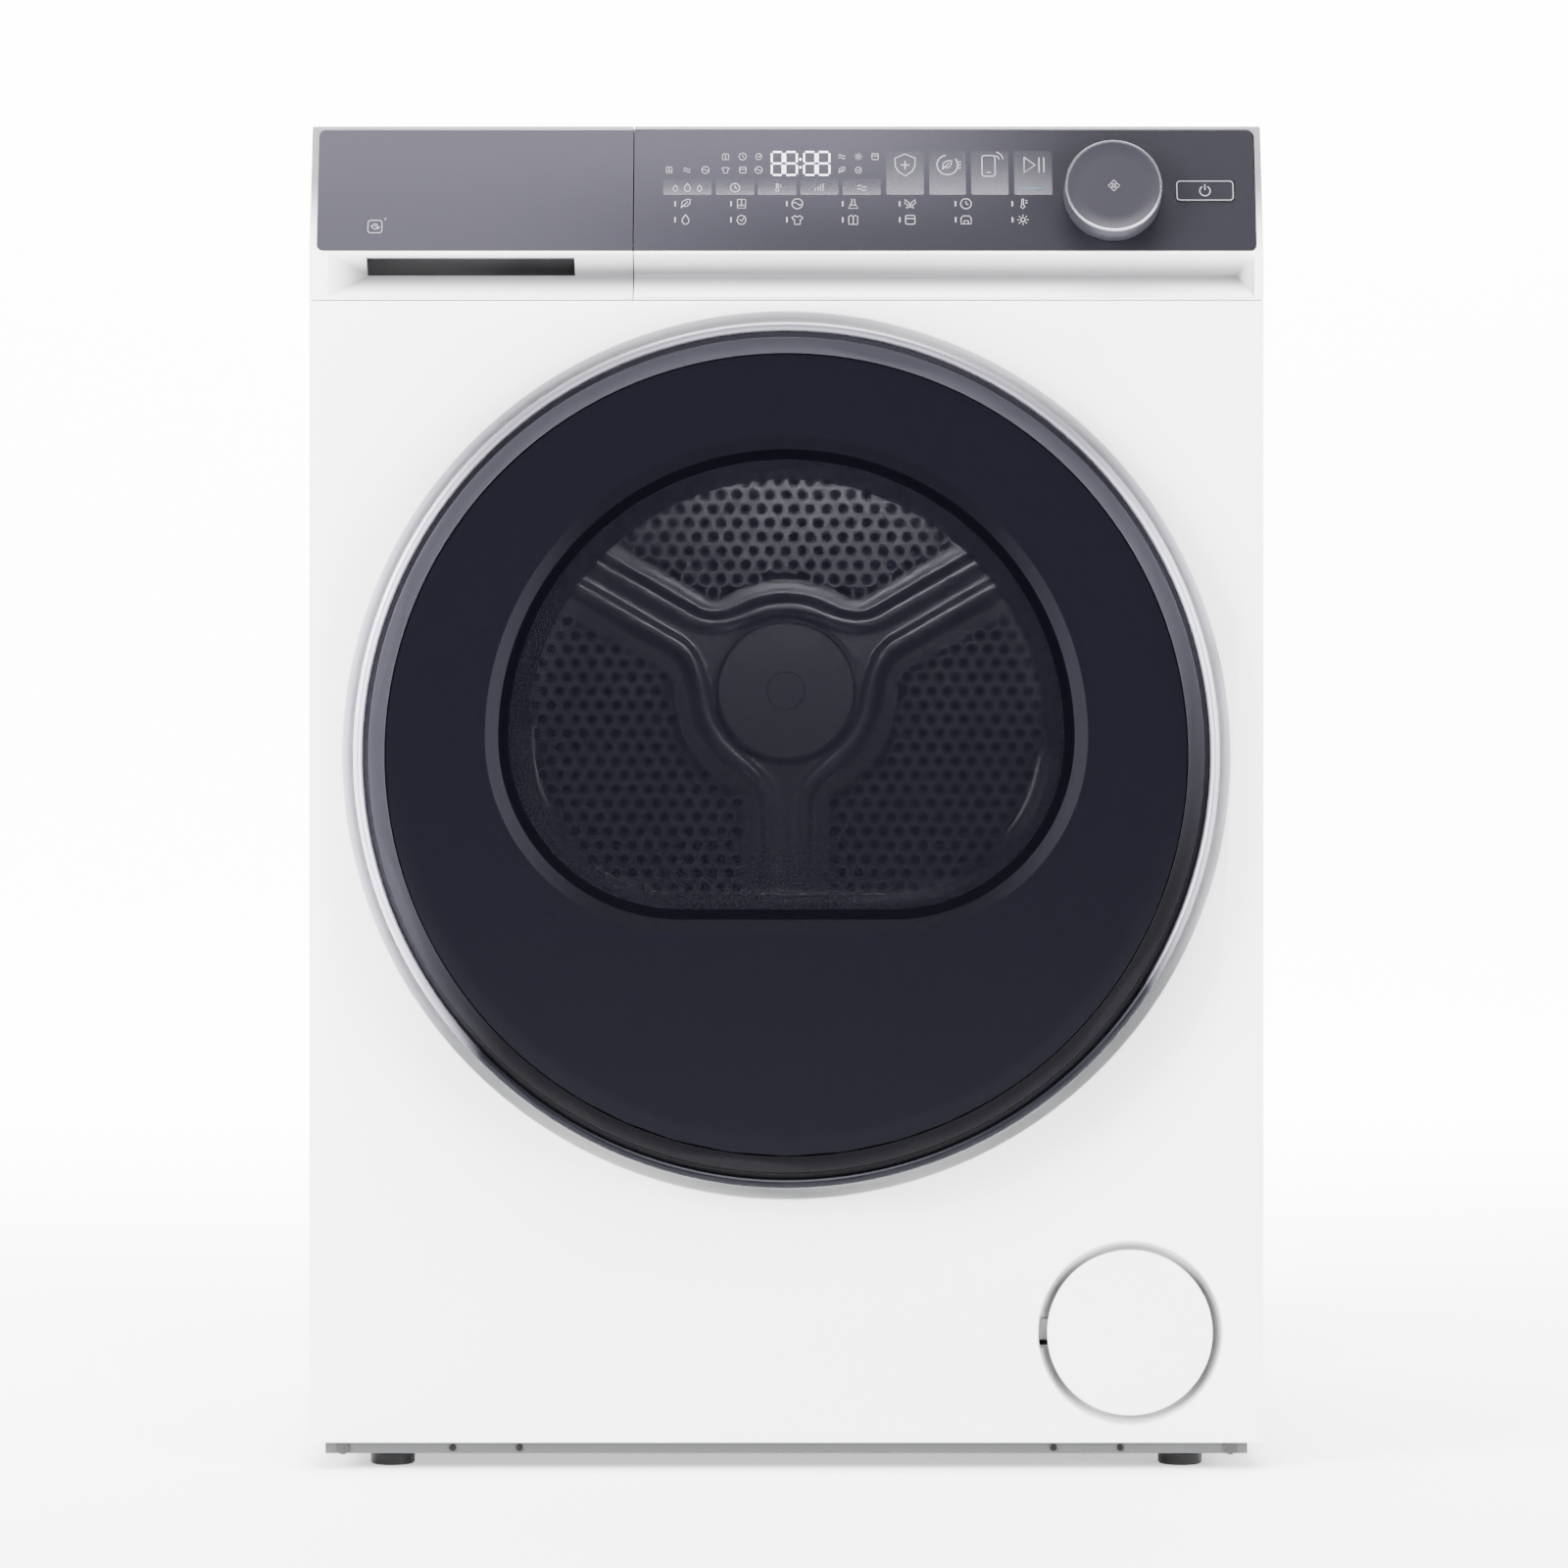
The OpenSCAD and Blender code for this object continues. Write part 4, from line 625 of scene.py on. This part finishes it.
ring_silver = ring_lacquer("ring_lacquer", (0.52, 0.51, 0.60), (0.006, 0.006, 0.009), -0.06, 0.34, 0.66)
bezel_grey = ring_lacquer("bezel_lacquer", (0.030, 0.029, 0.038), (0.0020, 0.0019, 0.0030), -0.24, 0.42,
                          0.2)
softened("door_ring", 0.0003, ring_silver, body="door")
softened("door_bezel", 0.0002, bezel_grey, body="door")

# ---- Door window ---------------------------------------------------------------------
# A flat disc of dark glass, printed black on its inside around a D-shaped clear window. Behind
# it stands a deep pressed bowl of tinted glass that keeps the laundry off the door. A narrow printed
# band round the window is lighter at its left and right: a painted highlight.
BOWL_Z, BOWL_R, BOWL_CORNER, DOOR_Z = 0.460, 0.186, 0.120, 0.449


def window_outline(grow, fine=8):
    """The D outline of the bowl, grown by some millimetres, with the same count of points every time."""
    g = grow / 1000
    points = [(math.cos(math.radians(a)) * (BOWL_R + g), BOWL_Z + math.sin(math.radians(a)) * (BOWL_R + g))
              for a in [180 * k / (12 * fine) for k in range(12 * fine + 1)]]
    shift = BOWL_R - BOWL_CORNER
    points += [(-shift + math.cos(math.radians(a)) * (BOWL_CORNER + g),
                BOWL_Z + math.sin(math.radians(a)) * (BOWL_CORNER + g))
               for a in [180 + 90 * k / (5 * fine) for k in range(1, 5 * fine + 1)]]
    points += [(-shift + 2 * shift * k / fine, BOWL_Z - BOWL_CORNER - g) for k in range(1, fine)]
    points += [(shift + math.cos(math.radians(a)) * (BOWL_CORNER + g),
                BOWL_Z + math.sin(math.radians(a)) * (BOWL_CORNER + g))
               for a in [270 + 90 * k / (5 * fine) for k in range(5 * fine)]]
    return points


def loft(rings, closed_ends=True):
    count = len(rings[0])
    points = [p for ring in rings for p in ring]
    faces = [(i * count + k, i * count + (k + 1) % count, (i + 1) * count + (k + 1) % count,
              (i + 1) * count + k)
             for i in range(len(rings) - 1) for k in range(count)]
    if closed_ends:
        faces.append(tuple(range((len(rings) - 1) * count, len(rings) * count)))
    return points, faces


black_print = Finish("black_glass_print", (0.0030, 0.0030, 0.0049), 0.2, IOR=1.1)
black_print.relief(black_print.noise(1300, 0.0), 0.00003, 0.3)
black_print.feed(Roughness=0.16 + 0.08 * black_print.noise(500))
pane_glass = Finish("tinted_window", (0.0022, 0.0022, 0.0040), 0.12, IOR=1.13)
pane_glass.feed(Roughness=0.16 + 0.08 * pane_glass.noise(12), Alpha=0.72 + 0.06 * pane_glass.noise(2))
edge_glass = Finish("window_print_edge_painted_highlight", (0.004, 0.004, 0.006), 0.24, IOR=1.15)
# Painted highlight: the dark printed band is lighter towards its left and right.
painted_side_highlight = edge_glass.ramp(edge_glass.along(0) * edge_glass.along(0), 0.012, 0.034)
edge_glass.feed(Roughness=0.2 + 0.1 * edge_glass.noise(500),
                Base_Color=edge_glass.tint((0.0022, 0.0022, 0.0036), (0.0085, 0.0083, 0.0115), painted_side_highlight))
deep_print = Finish("window_deep_print", (0.0008, 0.0008, 0.0016), 0.2, IOR=1.1)
deep_print.feed(Roughness=0.16 + 0.1 * deep_print.noise(500))


def disc_ring(outline, r):
    spots = []
    for x, z in outline:
        length = math.hypot(x, z - DOOR_Z)
        spots.append((x / length * r, DOOR_Z + (z - DOOR_Z) / length * r))
    return spots


window = window_outline(3.4)
rings = [[(x, -0.3230, z) for x, z in window_outline(g)] for g in (-60, -13, -6.5, 1.8)]
rings.append([(x, -0.3230, z) for x, z in window])
rings += [[(x, -0.3230, z) for x, z in disc_ring(window, r)] for r in (0.238, 0.2488)]
rings += [[(x, y, z) for x, z in disc_ring(window, r)] for r,
          y in ((0.2497, -0.3227), (0.25, -0.3221), (0.25, -0.3187), (0.246, -0.3185))]
points, faces = loft(rings, False)
count = len(window)
faces.append(tuple(range(count)))
glass = part("door_glass_disc", points, faces, [black_print, pane_glass, edge_glass, deep_print])
for face in glass.data.polygons:
    row = max(face.vertices) // count
    face.material_index = 1 if row < 2 or max(face.vertices) < count else (3, 2, 0)[min(row - 2, 2)]
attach(glass, "door")
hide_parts("door_glass")

bowl_glass = Finish("bowl_glass", (0.006, 0.006, 0.009), 0.1, IOR=1.45)
bowl_glass.feed(Roughness=0.07 + 0.07 * bowl_glass.noise(30), Alpha=0.34 + 0.1 * bowl_glass.noise(6))
# The bowl's wall is a lighter, more opaque copy of the bowl glass: painted sheen that shows its ridges as
# light bands.
bowl_band = Finish("bowl_wall_glass", (0.005, 0.005, 0.008), 0.16, IOR=1.45)
bowl_band.feed(Base_Color=bowl_band.tint((0.012, 0.0118, 0.0155), (0.010, 0.0098, 0.013), bowl_band.noise(20)),
               Roughness=0.13 + 0.08 * bowl_band.noise(60), Alpha=0.82 + 0.1 * bowl_band.noise(9))
outer = [(12, -318.3), (3, -318.3), (1.5, -317), (0, -313), (-3, -300), (-4.5, -296), (-6.5, -295),
         (-7, -280), (-10, -262), (-12, -258), (-13.5, -240), (-18, -224), (-24, -219.5),
         (-30, -218.6), (-60, -217.4)]
stations = [(g, y / 1000) for g, y in outer]
inner = [(-57, -220.4), (-28, -221.6), (-23, -222.4), (-19.5, -226), (-16.5, -240), (-15, -259),
         (-12.8, -263), (-10, -280), (-9.5, -294),
         (-7, -298), (-5.8, -300), (-3, -310), (-2.4, -315.2), (12, -315.2)]
rings = [[(x, y, z) for x, z in window_outline(g)] for g, y in stations]
points, faces = loft(rings)
split = len(faces)
inner_rings = [[(x, y / 1000, z) for x, z in window_outline(g)] for g, y in reversed(inner)]
more, extra = loft(inner_rings)
faces += [tuple(v + len(points) for v in face) for face in extra]
bowl = part("door_bowl_glass", points + more, faces, [bowl_glass, bowl_band])
count = len(window)
for i, face in enumerate(bowl.data.polygons):
    face.material_index = 1 if (i < 11 * count or (split <= i < split + 10 * count)) else 0
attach(bowl, "door")
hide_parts("door_bowl")

seal_rubber = Finish("seal_rubber", (0.03, 0.03, 0.032), 0.6)
seal_rubber.relief(seal_rubber.noise(1100, 2.0), 0.0003, 0.5)
seal_rubber.feed(Roughness=0.52 + 0.2 * seal_rubber.noise(50))
dress(seal_rubber, "door_seal", "drive_belt", "roller_left", "roller_right")
dress(white_abs, "door_inner_frame")

# ---- Drum ----------------------------------------------------------------------------
# The drum shell is rolled stainless steel with three hollow plastic lifters. Its back is a
# stamped plate: raised ribs in a Y between three fields of round air holes with turned-up rims.
# Each hole is closed just behind its rim by a black disc, painted shade for the dark space behind.
drum_steel = Finish("brushed_stainless", (0.50, 0.50, 0.51), 0.34, Metallic=1.0)
brush = drum_steel.noise(900, 1.0, (1, 0.02, 1))
drum_steel.feed(Roughness=0.26 + 0.16 * brush,
                Base_Color=drum_steel.tint((0.56, 0.56, 0.57), (0.42, 0.42, 0.44), drum_steel.noise(14)))
drum_steel.relief(brush, 0.0001, 0.25)
dress(drum_steel, "drum_shell")

plate_steel = Finish("stamped_steel", (0.2, 0.2, 0.21), 0.36, Metallic=0.9)
plate_steel.feed(Roughness=0.3 + 0.16 * plate_steel.noise(240),
                 Base_Color=plate_steel.tint((0.22, 0.22, 0.235), (0.15, 0.15, 0.16),
                                             plate_steel.noise(20)))
plate_steel.relief(plate_steel.noise(500, 1.0), 0.0001, 0.25)
# Painted shade: a black disc closes each hole just behind its rim and stands for the dark space behind the
# plate.
hole_shade_black = Finish("painted_hole_shade", (0.003, 0.003, 0.0035), 0.8, IOR=1.2)
hole_shade_black.feed(Roughness=0.7 + 0.2 * hole_shade_black.noise(1800))
DRUM_Z, PLATE_Y = 0.500, 0.245
INNER, OUTER, HALF_SPOKE, CORNER = 73.0, 205.0, 22.0, 16.0


def beyond(x, z):
    """Millimetres outside the nearest field of holes (below zero inside it)."""
    r = math.hypot(x, z)
    turn = (math.degrees(math.atan2(x, z)) + 60) % 120 - 60
    a, b = math.radians(60 - turn), math.radians(60 + turn)
    limits = (OUTER - r, r - INNER, r * math.sin(a) - HALF_SPOKE, r * math.sin(b) - HALF_SPOKE)
    short = [max(0.0, CORNER - d) for d in limits]
    return math.sqrt(sum(d * d for d in short)) - CORNER if any(short) else -min(limits)


def ease(value):
    value = min(1.0, max(0.0, value))
    return value * value * (3 - 2 * value)


def rise(s):
    return 8.0 * ease(s / 9) - 4.0 * ease((s - 13) / 7)


columns, steps = 480, 112
radii = [55 + 2 * i for i in range(steps)] + [278.6]
points, depth_of = [], []
for r in radii:
    for k in range(columns):
        a = 2 * math.pi * k / columns
        x, z = r * math.sin(a), r * math.cos(a)
        s = beyond(x, z)
        lift = rise(s) * (1 - ease((r - 262) / 12)) - (0.35 if s < -5.5 else 0)
        depth_of.append(s)
        points.append((x / 1000, PLATE_Y - lift / 1000, DRUM_Z + z / 1000))
faces = []
for i in range(len(radii) - 1):
    for k in range(columns):
        n = (k + 1) % columns
        corner = (i * columns + k, i * columns + n, (i + 1) * columns + n, (i + 1) * columns + k)
        if max(depth_of[v] for v in corner) > -8.5:
            faces.append(corner)
PITCH, HOLE, RIM, SIDES = 12.0, 3.7, 1.1, 18
hole_shade_faces = []
reach = int(OUTER / PITCH) + 2
for j in range(-reach - 4, reach + 5):
    for i in range(-reach - 4, reach + 5):
        x, z = (i + 0.5 * (j % 2)) * PITCH, j * PITCH * math.sqrt(3) / 2
        if beyond(x, z) > -6.5 - 0.5 * PITCH:
            continue
        start = len(points)
        for radius, lift in ((None, 0.0), (HOLE + 1.3, 0.0), (HOLE + 0.5, RIM), (HOLE, RIM),
                             (HOLE - 0.1, -0.9)):
            for k in range(SIDES):
                a = 2 * math.pi * k / SIDES
                edge = (a + math.pi / 6) % (math.pi / 3) - math.pi / 6
                reach_out = radius or PITCH / 2 / math.cos(edge)
                px, pz = x + reach_out * math.cos(a), z + reach_out * math.sin(a)
                points.append((px / 1000, PLATE_Y - lift / 1000, DRUM_Z + pz / 1000))
        for ring in range(4):
            for k in range(SIDES):
                n = (k + 1) % SIDES
                faces.append((start + ring * SIDES + k, start + ring * SIDES + n,
                              start + (ring + 1) * SIDES + n, start + (ring + 1) * SIDES + k))
        hole_shade_faces.append(len(faces))
        faces.append(tuple(range(start + 4 * SIDES, start + 5 * SIDES)))
plate = part("drum_back_plate", points, faces, [plate_steel, hole_shade_black], 50)
for face in hole_shade_faces:
    plate.data.polygons[face].material_index = 1
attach(plate, "drum")
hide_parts("drum_back")
hub_alloy = Finish("hub_cast_alloy", (0.15, 0.15, 0.16), 0.45, Metallic=0.8)
hub_alloy.relief(hub_alloy.noise(420, 2.0), 0.0002, 0.4)
hub_alloy.feed(Roughness=0.36 + 0.2 * hub_alloy.noise(120))
dress(hub_alloy, "drum_hub", "drum_bearing")

# ---- Felt and lint filter ------------------------------------------------------------
# A grey felt ring between the front wall and the turning drum, and the lint filter in the
# mouth below the door: a moulded frame over fine woven mesh.
felt_grey = Finish("wool_felt", (0.11, 0.11, 0.115), 0.95, Sheen_Weight=0.4)
fibres = felt_grey.noise(1600, 4.0)
felt_grey.relief(fibres, 0.0008, 0.8)
felt_grey.feed(Base_Color=felt_grey.tint((0.07, 0.07, 0.075), (0.18, 0.18, 0.185), fibres))
dress(felt_grey, "front_felt_seal")
mesh_grey = Finish("filter_mesh", (0.22, 0.225, 0.235), 0.6)
warp = mesh_grey.node("ShaderNodeTexWave", {"bands_direction": "X"},
                      {"Vector": mesh_grey.place, "Scale": 260.0})
weft = mesh_grey.node("ShaderNodeTexWave", {"bands_direction": "Z"},
                      {"Vector": mesh_grey.place, "Scale": 260.0})
mesh_grey.relief(warp + weft, 0.0003, 0.6)
mesh_grey.feed(Base_Color=mesh_grey.tint((0.10, 0.105, 0.11), (0.34, 0.345, 0.355), 0.5 * (warp + weft)))
dress(mesh_grey, "lint_filter")

# ---- Heat pump: compressor, heat exchangers and pipes --------------------------------
# A black enamelled compressor can, two finned aluminium blocks and soldered copper pipes, under
# a dark polypropylene cover.
FINISHES = (
    ("compressor_enamel", (0.018, 0.018, 0.02), (0.03, 0.03, 0.033), 0.3, 0.0, 300, 0.0002,
     ("compressor",)),
    ("copper_tube", (0.72, 0.34, 0.20), (0.48, 0.20, 0.12), 0.32, 1.0, 90, 0.0002, ("refrigerant_pipes",)),
    ("dark_polypropylene", (0.045, 0.046, 0.05), (0.07, 0.071, 0.076), 0.5, 0.0, 800, 0.0002,
     ("heat_pump_cover", "fan_housing", "condensate_pump", "fan_impeller", "idler_pulley")),
    ("grey_pvc_hose", (0.22, 0.225, 0.235), (0.30, 0.305, 0.315), 0.5, 0.0, 600, 0.0002,
     ("condensate_hose",)),
    ("motor_paint", (0.10, 0.10, 0.105), (0.16, 0.16, 0.165), 0.45, 0.3, 500, 0.0002, ("drive_motor",)),
    ("rotor_steel", (0.48, 0.48, 0.49), (0.34, 0.34, 0.35), 0.36, 1.0, 260, 0.0001, ("motor_rotor",)),
)
for name, light, dark, shine, metal, scale, depth, nodes in FINISHES:
    made = Finish(name, light, shine, Metallic=metal)
    spots = made.noise(scale, 2.0)
    made.feed(Base_Color=made.tint(light, dark, made.noise(scale / 12)),
              Roughness=shine - 0.08 + 0.18 * spots)
    made.relief(spots, depth, 0.35)
    dress(made, *nodes)
fin_alloy = Finish("fin_aluminium", (0.62, 0.63, 0.64), 0.4, Metallic=1.0)
fold = fin_alloy.node("ShaderNodeTexWave", {"bands_direction": "X"},
                      {"Vector": fin_alloy.place, "Scale": 170.0})
fin_alloy.relief(fold, 0.0004, 0.6)
fin_alloy.feed(Roughness=0.34 + 0.14 * fold,
               Base_Color=fin_alloy.tint((0.36, 0.37, 0.38), (0.68, 0.69, 0.7), fold))
dress(fin_alloy, "evaporator", "condenser")

# ---- Water tank and control board ----------------------------------------------------
# The tank is blow moulded in cloudy polypropylene behind the drawer front. The board sits behind
# the touch panel, with its copper tracks under a green lacquer.
cloudy = Finish("cloudy_polypropylene", (0.26, 0.30, 0.34), 0.32)
cloudy.relief(cloudy.noise(120, 1.0), 0.0004, 0.3)
cloudy.feed(Roughness=0.26 + 0.14 * cloudy.noise(30), Alpha=0.72 + 0.14 * cloudy.noise(10))
dress(cloudy, "water_tank")
board_green = Finish("board_green", (0.02, 0.10, 0.045), 0.35)
tracks = board_green.node("ShaderNodeTexBrick", {}, {"Vector": board_green.place, "Scale": 90.0}, "Fac")
board_green.feed(Base_Color=board_green.tint((0.016, 0.10, 0.045), (0.12, 0.30, 0.12), tracks),
                 Roughness=0.3 + 0.15 * tracks)
board_green.relief(tracks, 0.0002, 0.5)
dress(board_green, "control_board")
